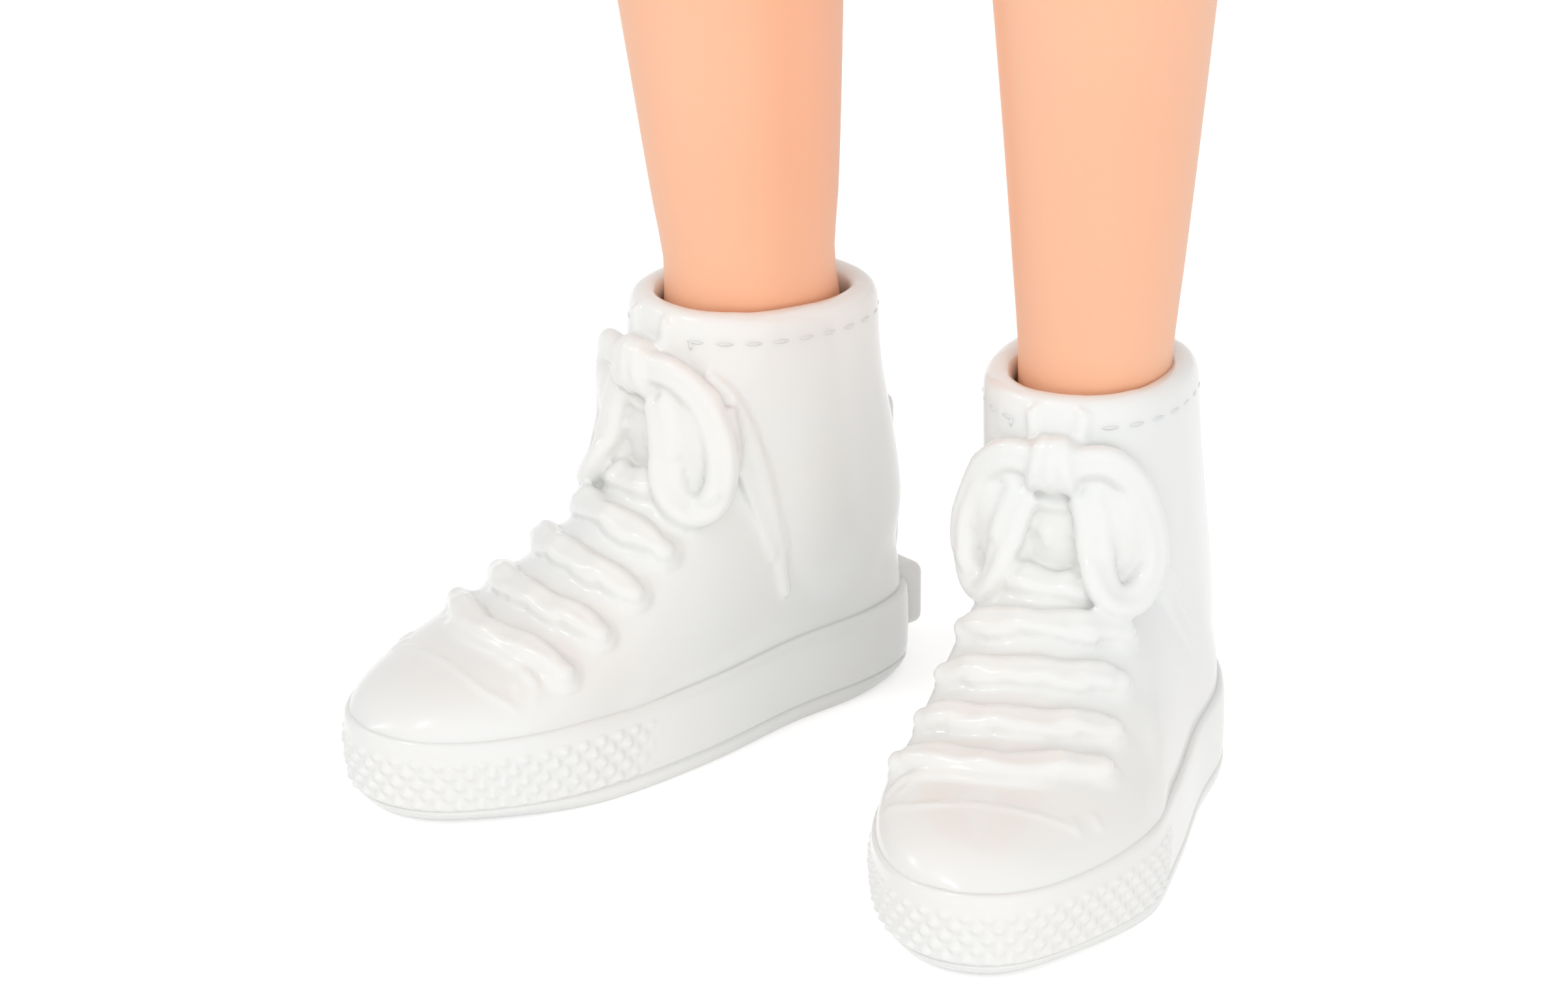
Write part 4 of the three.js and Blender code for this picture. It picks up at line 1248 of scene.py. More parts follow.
def torso_halves():
    """The hollow body cut along its sides, with its holes for the axle, the arms and the knob."""
    body = body_form(CROTCH_Z, NECK_TOP, bare_point)
    hollow = body_form(169, 241, lambda z, turn: body_point(z, turn, -SHELL), 48, 30)
    body = carved(
        body,
        hollow,
        *hip_room(),
        crossbar(-5, 5, HIP.z, AXLE_RADIUS + GAP, 32),
        crossbar(-FAR, FAR, SHOULDER.z, ARM_HOLE),
        upright(239, NECK_TOP + 3, KNOB_RADIUS + GAP, 32),
    )
    front = carved(body.copy(), block((-FAR, BODY_Y - 0.03, 100), (FAR, FAR, 300)))
    back = carved(body, block((-FAR, -FAR, 100), (FAR, BODY_Y + 0.03, 300)))
    return front, back


# Arms

# The arm, hanging from its joint: height, how far forward, half width and half depth.
ARM = Rows([
    (4.4, 0, 1.8, 2.0), (3.4, 0, 3.4, 3.7), (1.6, 0, 4.4, 4.8), (-2, 0, 4.6, 5.1),
    (-7, 0, 4.4, 4.9), (-14, 0, 4.0, 4.4), (-24, 0.1, 3.7, 4.0), (-33, 0, 3.4, 3.7),
    (-38, -0.2, 3.3, 3.6), (-43, -1.2, 3.4, 3.8), (-50, -3.2, 3.3, 3.7), (-59, -5.8, 2.7, 3.2),
    (-67, -8.0, 2.1, 2.7), (-71, -9.1, 1.9, 2.6), (-75, -10.1, 1.7, 3.4), (-79, -11.1, 1.6, 3.9),
    (-81.5, -11.7, 1.4, 3.7),
])
ARM_SPREAD = math.radians(8)
KNUCKLES = Vector((0, -11.4, -80.5))
# How far the round collar of the peg reaches from the joint towards the body, and its radius.
ARM_COLLAR = 4.65
COLLAR_RADIUS = 3.5
# Each finger: where it starts along the hand's width, its length and its radius.
FINGERS = [(-2.9, 7.6, 0.95), (-0.9, 8.8, 1.0), (1.1, 8.2, 0.95), (2.9, 6.4, 0.85)]


def arm_form():
    """The left arm with its hand, the collar round its peg, and the flange that holds it."""

    def place(height, turn):
        forward, half, depth = ARM(height)
        return Vector((half * math.cos(turn), forward + depth * math.sin(turn), height))

    parts = [loft(steps(4.4, 2, 12) + steps(2, -81.5, 80)[1:], 48, place)]
    for across, length, radius in FINGERS:
        path = curve_through([
            (0, KNUCKLES.y + across, KNUCKLES.z + 2),
            (0.05, KNUCKLES.y + across * 1.02 - length * 0.1, KNUCKLES.z - length * 0.2),
            (-0.15, KNUCKLES.y + across * 1.05 - length * 0.3, KNUCKLES.z - length * 0.58),
            (-0.9, KNUCKLES.y + across - length * 0.46, KNUCKLES.z - length + radius * 0.6),
        ], 24)
        slim = lambda share, turn: radius * (1 - 0.22 * share + 0.06 * bell(share, 0.55, 0.1))
        parts.append(tube(path, slim, 16))
        parts.append(ball(path[-1], (radius * 0.76,) * 3, 16, 10))
    bones = [(-0.6, -11.0, -72.5), (-1.5, -13.8, -76), (-2.1, -15.4, -78.6), (-2.2, -16.2, -80.3)]
    thumb = curve_through(bones, 20)
    parts.append(tube(thumb, lambda share, turn: 1.15 - 0.28 * share, 16))
    parts.append(ball(thumb[-1], (0.86,) * 3, 16, 10))
    parts.append(ball((-0.9, -11.6, -76.5), (1.3, 2.6, 3.6), 24, 16))
    collar = Matrix.Rotation(ARM_SPREAD, 3, "Y") @ Vector((-ARM_COLLAR, 0, 0))
    parts.append(rod(collar, (0, 0, 0), COLLAR_RADIUS))
    hanging = fused(parts, voxel=0.28, passes=4)
    bmesh.ops.rotate(hanging, matrix=Matrix.Rotation(-ARM_SPREAD, 3, "Y"), verts=hanging.verts)
    bmesh.ops.translate(hanging, vec=SHOULDER, verts=hanging.verts)
    peg = crossbar(15.4, SHOULDER.x, SHOULDER.z, ARM_HOLE - GAP, 32)
    flange = crossbar(14.2, 15.6, SHOULDER.z, ARM_HOLE + 0.7, 32)
    return joined([hanging, peg, flange])


# Head

HEAD = Vector((0, BODY_Y - 1, 272.5))
# The two ovals that the head is made of: middle and radii.
SKULL = (Vector((0, BODY_Y + 2.2, 278)), Vector((14.6, 16.6, 16)))
FACE = (Vector((0, BODY_Y - 4.6, 268.4)), Vector((11.8, 11.6, 13.2)))
HEAD_WALL = 1.6
EAR = Vector((14.6, BODY_Y + 0.6, 270.6))
SOCKET_OUTSIDE = 6.6
SOCKET_INSIDE = 5.2
SOCKET_LIP = 258.4
# The wall under the head, round the neck: height and radius.
SOCKET_WALL = [(256.3, 5.0), (256.5, 5.4), (257.1, 5.75), (258.4, 6.1), (260, 6.4), (262, 6.8)]
SOCKET_TOP = 262
# Places on the face: how far from its middle and how high.
EYE = (5.1, 271.2)
BLUSH = (7.6, 265.6)
NOSTRIL = (0.62, 266.1)
BROW_TOP = 276.0
MOUTH_HEIGHT = 262.5
LIP_HALF = 2.75
EYE_HALF = 2.75
EYE_TILT = 0.08
LID_RISE = 1.45
LID_FALL = 1.1
IRIS_RADIUS = 1.35
PUPIL_RADIUS = 0.62


def reach(direction, form):
    """How far an ellipsoid's skin lies from the head's middle in a direction."""
    centre, radii = form
    scaled = Vector(d / r for d, r in zip(direction, radii))
    start = Vector(d / r for d, r in zip(HEAD - centre, radii))
    a, b, c = scaled.dot(scaled), scaled.dot(start), start.dot(start) - 1
    return (-b + math.sqrt(b * b - a * c)) / a


def head_radius(direction):
    """How far the bare head reaches from its middle: the two ovals run softly together."""
    skull, face = reach(direction, SKULL), reach(direction, FACE)
    soft = 1.4
    return soft * math.log(math.exp(skull / soft) + math.exp(face / soft))


# Each form that stands out of the face or sinks into it: by how much, where and how wide it is on either
# side of the middle, and where and how high it is on the face.
FACE_FORMS = [
    (1.9, 0, 1.15, 267.4, 1.35),  # the tip of the nose
    (0.55, 1.25, 0.6, 266.7, 0.75),  # the wings of the nose
    (-0.75, EYE[0], 2.6, EYE[1] + 0.3, 1.9),  # the hollows of the eyes
    (0.45, EYE[0], 2.0, EYE[1], 1.15),  # the eyes
    (0.35, 5.0, 3.2, 275.0, 1.1),  # the brows
    (0.35, 7.0, 2.8, 266.0, 2.8),  # the cheeks
    (0.6, 0, 2.3, 263.35, 0.55),  # the upper lip
    (0.7, 0, 1.9, 262.0, 0.65),  # the lower lip
    (-0.35, 0, 2.6, 262.65, 0.22),  # the line between the lips
    (-0.25, 0, 0.5, 264.6, 0.6),  # the groove under the nose
    (-0.3, 0, 2.2, 260.3, 0.8),  # the hollow above the chin
    (0.35, 0, 2.6, 257.9, 1.5),  # the chin
]


def features(x, z):
    """How far the face stands out at a place seen from the front."""
    out = 0.85 * bell(x, 0, 0.95) * smooth(z, 266.6, 268.5) * (1 - smooth(z, 270.5, 275))
    for size, across, wide, up, high in FACE_FORMS:
        out += size * bell(abs(x), across, wide) * bell(z, up, high)
    return out


def head_point(direction, grow=0.0, featured=False):
    radius = head_radius(direction)
    at = HEAD + direction * radius
    if featured and direction.y < 0:
        grow += features(at.x, at.z) * smooth(-direction.y, 0.15, 0.45)
    return HEAD + direction * (radius + grow)


def head_ball(grow, across, down, featured=False):
    bm = bmesh.new()
    bmesh.ops.create_uvsphere(bm, u_segments=across, v_segments=down, radius=1)
    for vert in bm.verts:
        vert.co = head_point(vert.co.normalized(), grow, featured)
    return bm


def ear_parts(side):
    """A shell of an ear: its body, the rim that curls over it, and the bowl scooped inside."""
    turned = Matrix.Rotation(side * math.radians(-14), 3, "Z") @ Matrix.Rotation(math.radians(-8), 3, "X")
    centre = Vector((side * EAR.x, EAR.y, EAR.z))
    shell = ball(centre, (0.8, 2.2, 3.5), 32, 24, turned)
    rim = []
    for angle in steps(math.radians(-120), math.radians(110), 40):
        flat = Vector((side * 0.45, 2.15 * math.cos(angle), 3.35 * math.sin(angle)))
        rim.append(centre + turned @ flat)
    curl = tube(rim, lambda share, turn: 0.34 + 0.16 * share, 12)
    lobe = ball(centre + turned @ Vector((side * 0.2, -0.5, -3.0)), (0.75, 1.0, 1.0), 16, 12)
    guard = ball(centre + turned @ Vector((side * 0.25, -1.7, -0.4)), (0.55, 0.55, 0.9), 16, 12)
    return [shell, curl, lobe, guard]


def head_form():
    """The hollow head with its face, ears and socket, open underneath for the neck."""
    parts = [head_ball(0, 160, 110, True)]
    for side in (-1, 1):
        parts += ear_parts(side)

    def wall(row, turn):
        height, radius = row
        return Vector((radius * math.cos(turn), BODY_Y + radius * math.sin(turn), height))

    parts.append(loft(SOCKET_WALL, 64, wall))
    skin = fused(parts, voxel=0.26, passes=3)
    return carved(
        skin,
        head_ball(-HEAD_WALL, 48, 32),
        upright(KNOB_BASE, SOCKET_TOP, KNOB_RADIUS + 0.5),
        upright(SOCKET_LIP, SOCKET_TOP + 6, SOCKET_INSIDE),
        upright(KNOB_BASE, NECK_TOP + GAP, SOCKET_OUTSIDE + 2),
    )


# Hair

KNOT_LEAN = math.radians(40)
KNOT_AXIS = Vector((0, math.sin(KNOT_LEAN), math.cos(KNOT_LEAN)))
KNOT_TURN = Matrix.Rotation(-KNOT_LEAN, 3, "X")
# What hair leaves bare, seen from the side, in front of and below this line.
HAIRLINE = [(-13, 285), (-10.5, 281), (-7.5, 276), (-5.2, 271), (-2, 266), (5, 262.5), (11, 260)]
STRANDS = 84


def past_hairline(at):
    """How far behind and above the hairline a place on the head lies."""
    y, z = at.y - BODY_Y, at.z
    nearest, side = 1e9, 1
    points = [(-60, 286.2), *HAIRLINE, (11.5, 240)]
    for (ay, az), (by, bz) in zip(points, points[1:]):
        dy, dz = by - ay, bz - az
        share = min(max(((y - ay) * dy + (z - az) * dz) / (dy * dy + dz * dz), 0), 1)
        gap_y, gap_z = y - ay - dy * share, z - az - dz * share
        away = math.hypot(gap_y, gap_z)
        if away < nearest:
            nearest, side = away, math.copysign(1, dz * gap_y - dy * gap_z) * -1
    return nearest * side


def leaned(place):
    """From the knot's own upright frame to its place on the head."""
    return HEAD + KNOT_TURN @ Vector(place)


def hair_cap():
    """Hair combed from its line up to the knot, thin at its edge, in fine locks that run to the knot."""
    rng = random.Random(11)
    drift = [rng.uniform(0, 2 * math.pi) for _ in range(4)]
    heights = [0.02 + (math.pi - 0.06) * (k / 110) ** 0.92 for k in range(111)]

    def place(fall, turn):
        wide = math.sin(fall)
        direction = KNOT_TURN @ Vector((wide * math.cos(turn), wide * math.sin(turn), math.cos(fall)))
        radius = head_radius(direction)
        skin = HEAD + direction * radius
        inside = past_hairline(skin)
        ear_near = math.hypot((abs(skin.x) - EAR.x) / 3, (skin.y - EAR.y) / 3.2, (skin.z - EAR.z) / 5.0)
        inside = min(inside, (ear_near - 1) * 3)
        grow = mix(-0.9, 1.45, smooth(inside, -0.8, 2.2)) + 0.3 * smooth(inside, 2, 8)
        wander = 0.08 * math.sin(3 * turn + 4 * fall + drift[0])
        wander += 0.05 * math.sin(7 * turn - 6 * fall + drift[1])
        lock = math.sin(STRANDS / 4 * (turn + wander) + drift[2])
        fine = math.sin(STRANDS * (turn + wander * 0.6) + drift[3])
        fade = smooth(inside, 0, 2) * smooth(fall, 0.1, 0.3)
        grow += (0.16 * lock + 0.07 * fine) * fade
        return HEAD + direction * (radius + grow)

    return loft(heights, 4 * STRANDS, place)


def hair_knot():
    """The gathered stem through its tie, and the rope of hair wound over it."""

    def gathered(z, turn):
        radius = (3.1 + 0.12 * math.sin(22 * turn)) * (1 + 0.5 * smooth(-z, -22, -15))
        return leaned((radius * math.cos(turn), radius * math.sin(turn), z))

    def thick(share, turn):
        strands = 1 + 0.045 * math.sin(9 * turn + 26 * share)
        return mix(2.1, 1.6, share) * strands * (1 - 0.6 * smooth(share, 0.93, 1))

    stem = loft(steps(15, 28.5, 12), 96, gathered)
    turns = 2.35
    path = []
    for share in steps(0, 1, 170):
        around = 2 * math.pi * turns * share
        out = mix(3.9, 0.7, share ** 1.1)
        path.append(leaned((out * math.cos(around), out * math.sin(around), mix(28.0, 33.0, share ** 0.8))))
    rope = tube(path, thick, 54, up=KNOT_AXIS)
    core = ball(HEAD + KNOT_AXIS * 30.2, (4.4, 4.4, 3.4), 48, 32, KNOT_TURN)
    return joined([stem, rope, core])


def hair_tie():
    """A gathered elastic: a ring in soft pleats."""
    ring = [leaned((3.75 * math.cos(a), 3.75 * math.sin(a), 25.7)) for a in steps(0, 2 * math.pi, 180)[:-1]]
    pleated = lambda share, turn: 0.72 + 0.12 * math.sin(34 * 2 * math.pi * share)
    return tube(ring, pleated, 16, up=KNOT_AXIS, closed=True)


# Clothes

TOP_FIT = 0.3
TOP_CLOTH = 0.75
YOKE_FIT = 1.1


def top_shape():
    """Each edge of the tank top, as what is cut away from the cloth."""
    return [
        ball((0, BODY_Y - 6, 243), (8.6, 14, 15), 96, 64),
        ball((0, BODY_Y + 8, 245), (8.2, 12, 9), 96, 64),
        ball((22, BODY_Y, 232.5), (8.2, 30, 10.6), 96, 64),
        ball((-22, BODY_Y, 232.5), (8.2, 30, 10.6), 96, 64),
        upright(240, 262, 9.0, 64),
    ]


def top_point(height, turn):
    """The outside of the knitted cloth, with a few soft folds above the shorts and under the arms."""
    low = 1 - smooth(height, 189, 200)
    folds = 0.22 * low * math.sin(11 * turn + 0.35 * height)
    folds += 0.12 * low * math.sin(17 * turn - 0.5 * height)
    pull = 0.12 * bell(height, 222, 7) * math.sin(0.9 * height + 5 * math.cos(turn))
    return body_point(height, turn, TOP_FIT + TOP_CLOTH + folds * 0.6 + pull)


def tank_top():
    """The knitted cloth, hollow for the body and cut out at the neck and the arms."""
    hem = WAISTBAND[1] + GAP
    outside = body_form(hem, 247, top_point, 160, 110)
    inside = body_form(hem - 0.5, 247.5, lambda z, turn: body_point(z, turn, TOP_FIT), 80, 60)
    return carved(outside, inside, *top_shape())


def top_bindings(cloth):
    """Ribbed bindings round the neck and armholes, and the hem."""

    def outer(at):
        turn = math.atan2(
            signed_power((at.y - BODY_Y) / max(BODY(at.z)[2 if at.y > BODY_Y else 1], 1), 1.1),
            signed_power(at.x / BODY(at.z)[0], 1.1),
        )
        near = body_point(at.z, turn, TOP_FIT)
        mid = Vector((0, BODY_Y, at.z))
        return (at - mid).length > (near - mid).length + 0.25

    parts = []
    for loop in edge_loops(cloth, math.radians(38), outer):
        path = evened(loop, 0.35)
        if len(path) > 60:
            parts.append(tube(path, 0.5, 12, closed=True))
    return parts


def body_depth(x, height, back, grow):
    """How far back or forward the body's form lies at a place seen from straight behind or ahead."""
    half, front, rear = BODY(height)
    flat = min(abs(x) / (half + grow), 1) ** SQUARE
    depth = ((rear if back else front) + grow) * (1 - flat) ** (1 / SQUARE)
    if back:
        return BODY_Y + depth
    turn = math.atan2(-depth, x)
    return BODY_Y - depth - bust(turn, height)


def patch(low, high, grow, thickness, back=True, cells=(16, 20), shape=None):
    """A flat piece sewn on a garment, laid on the body's form. shape(across, up) moves its height."""
    bm = bmesh.new()
    bmesh.ops.create_grid(bm, x_segments=cells[0], y_segments=cells[1], size=0.5)
    for vert in bm.verts:
        across, up = vert.co.x + 0.5, vert.co.y + 0.5
        x, z = mix(low[0], high[0], across), mix(low[1], high[1], up)
        if shape:
            z += shape(across, up)
        vert.co = Vector((x, body_depth(x, z, back, grow), z))

    def add(holder):
        thick = holder.modifiers.new("thick", "SOLIDIFY")
        thick.thickness = thickness
        thick.offset = 0
        rounder = holder.modifiers.new("round", "BEVEL")
        rounder.width = thickness * 0.3
        rounder.segments = 3
        rounder.limit_method = "ANGLE"

    return through_modifiers(bm, add)


def back_closure():
    return patch((-1.7, 190), (1.7, 232), TOP_FIT + TOP_CLOTH + 0.3, 0.5, True, (10, 90))


def shorts_yoke():
    """The layer under the legs' cloth, which keeps the crotch closed when a leg lifts."""
    outside = body_form(CROTCH_Z - 0.6, 180, lambda z, turn: body_point(z, turn, YOKE_FIT - 0.25), 96, 50)
    inside = body_form(CROTCH_Z - 0.1, 181, lambda z, turn: body_point(z, turn, YOKE_FIT - 0.7), 96, 50)
    return carved(outside, inside, *hip_room())


SHORTS_TOP = 181.3
# The height where the two legs of the shorts part, and where they are one round the hips.
SPLIT = 142
WHOLE = 158
# The hips of the shorts: height, half width, depth forward and depth back.
SHORTS = Rows([
    (140, 21.5, 12.0, 12.6), (147, 21.9, 12.4, 13.6), (154, 22.1, 12.9, 15.2), (160, 22.2, 13.3, 16.6),
    (167, 22.3, 13.3, 16.4), (174, 20.5, 12.9, 14.6), (181.5, 17.9, 12.0, 12.3),
])


def shorts_point(height, turn, grow=0.0):
    """The left half of the shorts: half of the hips at its top, closed round the thigh below the crotch."""
    if height > SPLIT:
        half, front, back = SHORTS(height)
        depth = (back if math.sin(turn) > 0 else front) + grow
        across = (half + grow) * max(math.cos(turn), 0) ** (2 / SQUARE)
        hips = Vector((across, BODY_Y + depth * signed_power(math.sin(turn), 2 / SQUARE), height))
    flare = 1.2 * (1 + math.cos(turn)) * smooth(-height, -150, -SHORTS_HEM)
    thigh = leg_point(height, turn, 1.3 + flare + grow)
    thigh.x = max(thigh.x, 0.35)
    crease = 0.16 * math.sin(5 * turn + 0.5 * height) * bell(height, 136, 7)
    thigh += Vector((math.cos(turn), math.sin(turn), 0)) * crease
    if height <= SPLIT:
        return thigh
    made = thigh.lerp(hips, smooth(height, SPLIT, WHOLE))
    if math.cos(turn) < 0:
        made.x = mix(made.x, 0, smooth(height, SPLIT, SPLIT + 4))
    return made


def shorts_half():
    """One half of the shorts with its leg, open where it meets the other half."""
    leg = steps(SHORTS_HEM + 0.3, SPLIT, 24)
    hips = steps(SPLIT, 166, 34)[1:] + steps(166, SHORTS_TOP, 14)[1:]
    half = loft(leg + hips, 120, shorts_point, caps=(False, False))
    wall = [f for f in half.faces if all(v.co.x < 0.02 and v.co.z > 144.5 for v in f.verts)]
    bmesh.ops.delete(half, geom=wall, context="FACES")

    def add(holder):
        thick = holder.modifiers.new("thick", "SOLIDIFY")
        thick.thickness = 0.45
        thick.offset = -1

    return through_modifiers(half, add)


def hem_cuff():
    """The turned-up hem: a band that stands off the cloth, rolled over at both edges."""

    def place(row, turn):
        height, out = row
        return shorts_point(height, turn, out)

    rows = [
        (127.3, -0.4), (127.0, -0.2), (126.9, 0.1), (127.0, 0.42), (127.3, 0.55), (129, 0.5), (130.4, 0.52),
        (130.8, 0.46), (130.95, 0.3), (130.95, 0.1), (130.8, -0.2), (129, -0.4),
    ]
    return loft(rows, 120, place, joined=True)


def waistband():
    def place(row, turn):
        height, out = row
        return body_point(height, turn, out)

    rows = [
        (181.2, 0.5), (180.9, 0.9), (180.8, 1.3), (181.0, 1.75), (181.6, 1.9), (183, 1.85), (184.3, 1.82),
        (185.8, 1.85), (186.7, 1.8), (187.1, 1.55), (187.2, 1.2), (187.1, 0.8), (186.6, 0.5), (184, 0.45),
    ]
    return loft(rows, 140, place, joined=True)


def belt_loops():
    parts = []
    for x, back in ((-7.6, False), (7.6, False), (0, True), (-9, True), (9, True)):
        path = []
        for height, out in ((180.3, 1.9), (181.2, 2.15), (184, 2.35), (186.9, 2.1), (187.4, 1.8)):
            path.append((x, body_depth(x, height, back, out), height))
        parts.append(tube(curve_through(path, 16), 0.75, 12, flat=0.38, up=(0, 1, 0)))
    return parts


def on_shorts(x, height, back, lift=0.0):
    """A place on the outside of the shorts, seen from straight ahead or behind."""
    half, front, rear = SHORTS(height)
    flat = min(abs(x) / half, 1) ** SQUARE
    depth = (rear if back else front) * (1 - flat) ** (1 / SQUARE) + lift
    return Vector((x, BODY_Y + (depth if back else -depth), height))


# Two heights, the first above the second, passed along with the cloth of the shorts, which is left in place
# under no body.
HIP_FOLD = (163.5, 144.5)
HEM_STITCHES = 130.2


def topstitch(points):
    """Heavy stitches along a path on the denim."""
    return sewn(points, 0.9, 0.45, 0.11)


def shorts_seams():
    """The stitches along the front and the back of one half, beside the seam of the two."""
    front = [on_shorts(0.7, z, False, 0.05) for z in steps(181, 150, 60)]
    back = [on_shorts(0.7, z, True, 0.05) for z in steps(181, 154.5, 52)]
    return joined([topstitch(front), topstitch(back)])


def shorts_stitching():
    """The stitches along the yoke of the seat and along the front pocket."""
    yoke = [on_shorts(x, 178.6 - 0.12 * x, True, 0.05) for x in steps(0.8, 15, 40)]
    pocket = [on_shorts(mix(9, 17, s), 180.9 - 8.2 * s**1.7, False, 0.06) for s in steps(0, 1, 40)]
    return joined([topstitch(yoke), topstitch(pocket)])


def hem_stitching():
    return topstitch([shorts_point(HEM_STITCHES, turn, 0.6) for turn in steps(-math.pi, math.pi, 160)])


def patch_pocket():
    """A back pocket: a patch whose lower edge comes to a point, and the stitches along its edges."""
    pointed = lambda across, up: 1.7 * abs(2 * across - 1) * (1 - up)
    pocket = patch((4.2, 167.5), (12.6, 177.5), YOKE_FIT + 1.1, 0.5, True, (20, 24), pointed)
    corners = [(4.8, 177.0), (12.0, 177.0), (12.0, 169.8), (8.4, 168.3), (4.8, 169.8), (4.8, 177.0)]
    path = []
    for (ax, az), (bx, bz) in zip(corners, corners[1:]):
        for share in steps(0, 1, 12)[:-1]:
            x, z = mix(ax, bx, share), mix(az, bz, share)
            path.append(Vector((x, body_depth(x, z, True, YOKE_FIT + 1.4), z)))
    return pocket, sewn(path, 0.8, 0.4, 0.1)


def button():
    """A turned metal button: a rim, a dished face and a small dome."""
    rows = [
        (0.0, 0.02), (0.0, 1.25), (0.15, 1.42), (0.45, 1.45), (0.62, 1.35), (0.66, 1.2), (0.58, 1.05),
        (0.46, 0.95), (0.46, 0.7), (0.6, 0.55), (0.72, 0.35), (0.76, 0.05),
    ]
    middle = sum(WAISTBAND) / 2 - 0.05
    front = body_depth(0, middle, False, 1.85)

    def place(row, turn):
        out, radius = row
        return Vector((radius * math.cos(turn), front - out, middle + radius * math.sin(turn)))

    return loft(rows, 48, place)


def earring():
    """A ball on its cup and post."""
    at = EAR + Vector((1.6, -0.45, -3.4))
    cup = rod(at - Vector((1.3, 0, 0)), at - Vector((0.75, 0, 0)), 0.55, 24)
    post = rod(at - Vector((2.6, 0, 0)), at, 0.22, 12)
    return joined([ball(at, (0.92,) * 3, 32, 20), cup, post])


# What a user would change


class DollShoes(bpy.types.PropertyGroup):
    vinyl: FloatVectorProperty(
        name="Vinyl", description="Colour of the sneakers", subtype="COLOR", size=3,
        default=(0.82, 0.832, 0.818),
    )
    stud_pitch: FloatProperty(
        name="Stud pitch", description="Distance between studs round the toe, in millimetres",
        default=1.04, min=0.5,
    )
    stud_row: FloatProperty(
        name="Stud row", description="Distance between rows of studs, in millimetres", default=0.56, min=0.3
    )
    stud_depth: FloatProperty(
        name="Stud depth", description="How far the studs stand out, in millimetres", default=0.23, min=0
    )


class DollBody(bpy.types.PropertyGroup):
    skin: FloatVectorProperty(
        name="Skin", description="Colour of the body's vinyl", subtype="COLOR", size=3,
        default=(0.93, 0.515, 0.332),
    )


class DollHead(bpy.types.PropertyGroup):
    hair: FloatVectorProperty(
        name="Hair", description="Colour of the hair", subtype="COLOR", size=3,
        default=(0.145, 0.056, 0.021),
    )
    eyes: FloatVectorProperty(
        name="Eyes", description="Colour of the painted irises", subtype="COLOR", size=3,
        default=(0.08, 0.2, 0.32),
    )
    lips: FloatVectorProperty(
        name="Lips", description="Colour of the painted lips", subtype="COLOR", size=3,
        default=(0.72, 0.24, 0.21),
    )


class DollClothes(bpy.types.PropertyGroup):
    knit: FloatVectorProperty(
        name="Knit", description="Colour of the top", subtype="COLOR", size=3,
        default=(0.88, 0.86, 0.8),
    )
    denim: FloatVectorProperty(
        name="Denim", description="Colour of the shorts", subtype="COLOR", size=3,
        default=(0.115, 0.21, 0.38),
    )
    thread: FloatVectorProperty(
        name="Thread", description="Colour of the topstitching", subtype="COLOR", size=3,
        default=(0.62, 0.33, 0.1),
    )


class DollStage(bpy.types.PropertyGroup):
    azimuth: FloatProperty(
        name="Azimuth", description="Where the camera stands, from straight ahead", subtype="ANGLE",
        default=math.radians(33),
    )
    elevation: FloatProperty(
        name="Elevation", description="How far above the level the camera stands", subtype="ANGLE",
        default=math.radians(22.4),
    )
    distance: FloatProperty(
        name="Distance", description="From the camera to what it looks at", unit="LENGTH", default=0.35
    )
    width: FloatProperty(
        name="Width", description="How much the picture takes in there, from side to side", unit="LENGTH",
        default=0.0747,
    )
    ambient: FloatProperty(
        name="Ambient", description="Strength of the light from all round", default=0.66, min=0
    )
    key: FloatProperty(name="Key", description="Power of the large soft lamp, in watts", default=18, min=0)


class DOLL_OT_sneakers(bpy.types.Operator):
    """Add the two sneakers: sole band, studs, upper, laces and bow"""

    bl_idname = "doll.sneakers"
    bl_label = "Sneakers"

    def execute(self, context):
        settings = context.scene.doll_shoes
        vinyl = shoe_finish("sneaker vinyl", settings.vinyl).material
        upper = shoe_upper()
        band = shoe_sole(settings.stud_pitch, settings.stud_row, settings.stud_depth)
        sole = joined([band, heel_patch()])
        for made in (upper, sole):
            bmesh.ops.transform(made, matrix=UNDER_LEG, verts=made.verts)
        for side in SIDES:
            leg, nodes = f"leg_{side}", [f"shoe_{side}"]
            side_piece("sneaker_upper", side, upper, vinyl, leg, "white_vinyl", nodes, sharp=60)
            side_piece("sneaker_sole", side, sole, vinyl, leg, "white_vinyl", sharp=50)
        upper.free()
        sole.free()
        return {"FINISHED"}


class DOLL_OT_legs(bpy.types.Operator):
    """Add the two legs, from the foot in its sneaker to the hip"""

    bl_idname = "doll.legs"
    bl_label = "Legs"

    def execute(self, context):
        skin = skin_finish("leg vinyl", context.scene.doll_body.skin).material
        leg = leg_form()
        for side in SIDES:
            side_piece("bare_leg", side, leg, skin, f"leg_{side}", "skin", nodes=[f"leg_{side}"])
        leg.free()
        return {"FINISHED"}


class DOLL_OT_body(bpy.types.Operator):
    """Add the two halves of the torso, the two arms and the finish of the axle and knob inside"""

    bl_idname = "doll.body"
    bl_label = "Torso and arms"

    def execute(self, context):
        skin = skin_finish("body vinyl", context.scene.doll_body.skin).material
        front, back = torso_halves()
        piece("torso_skin_front", front, skin, "torso", "skin", nodes=["torso_front"])
        piece("torso_skin_back", back, skin, "torso", "skin", nodes=["torso_back"])
        arm = arm_form()
        for side in SIDES:
            side_piece("bare_arm", side, arm, skin, f"arm_{side}", "skin", nodes=[f"arm_{side}"])
        arm.free()
        core = thing_finish("moulded core", CORE, 0.4).material
        for name in ("hip_axle", "neck_knob"):
            mesh = frame["nodes"][name].data
            mesh.materials.clear()
            mesh.materials.append(core)
        return {"FINISHED"}


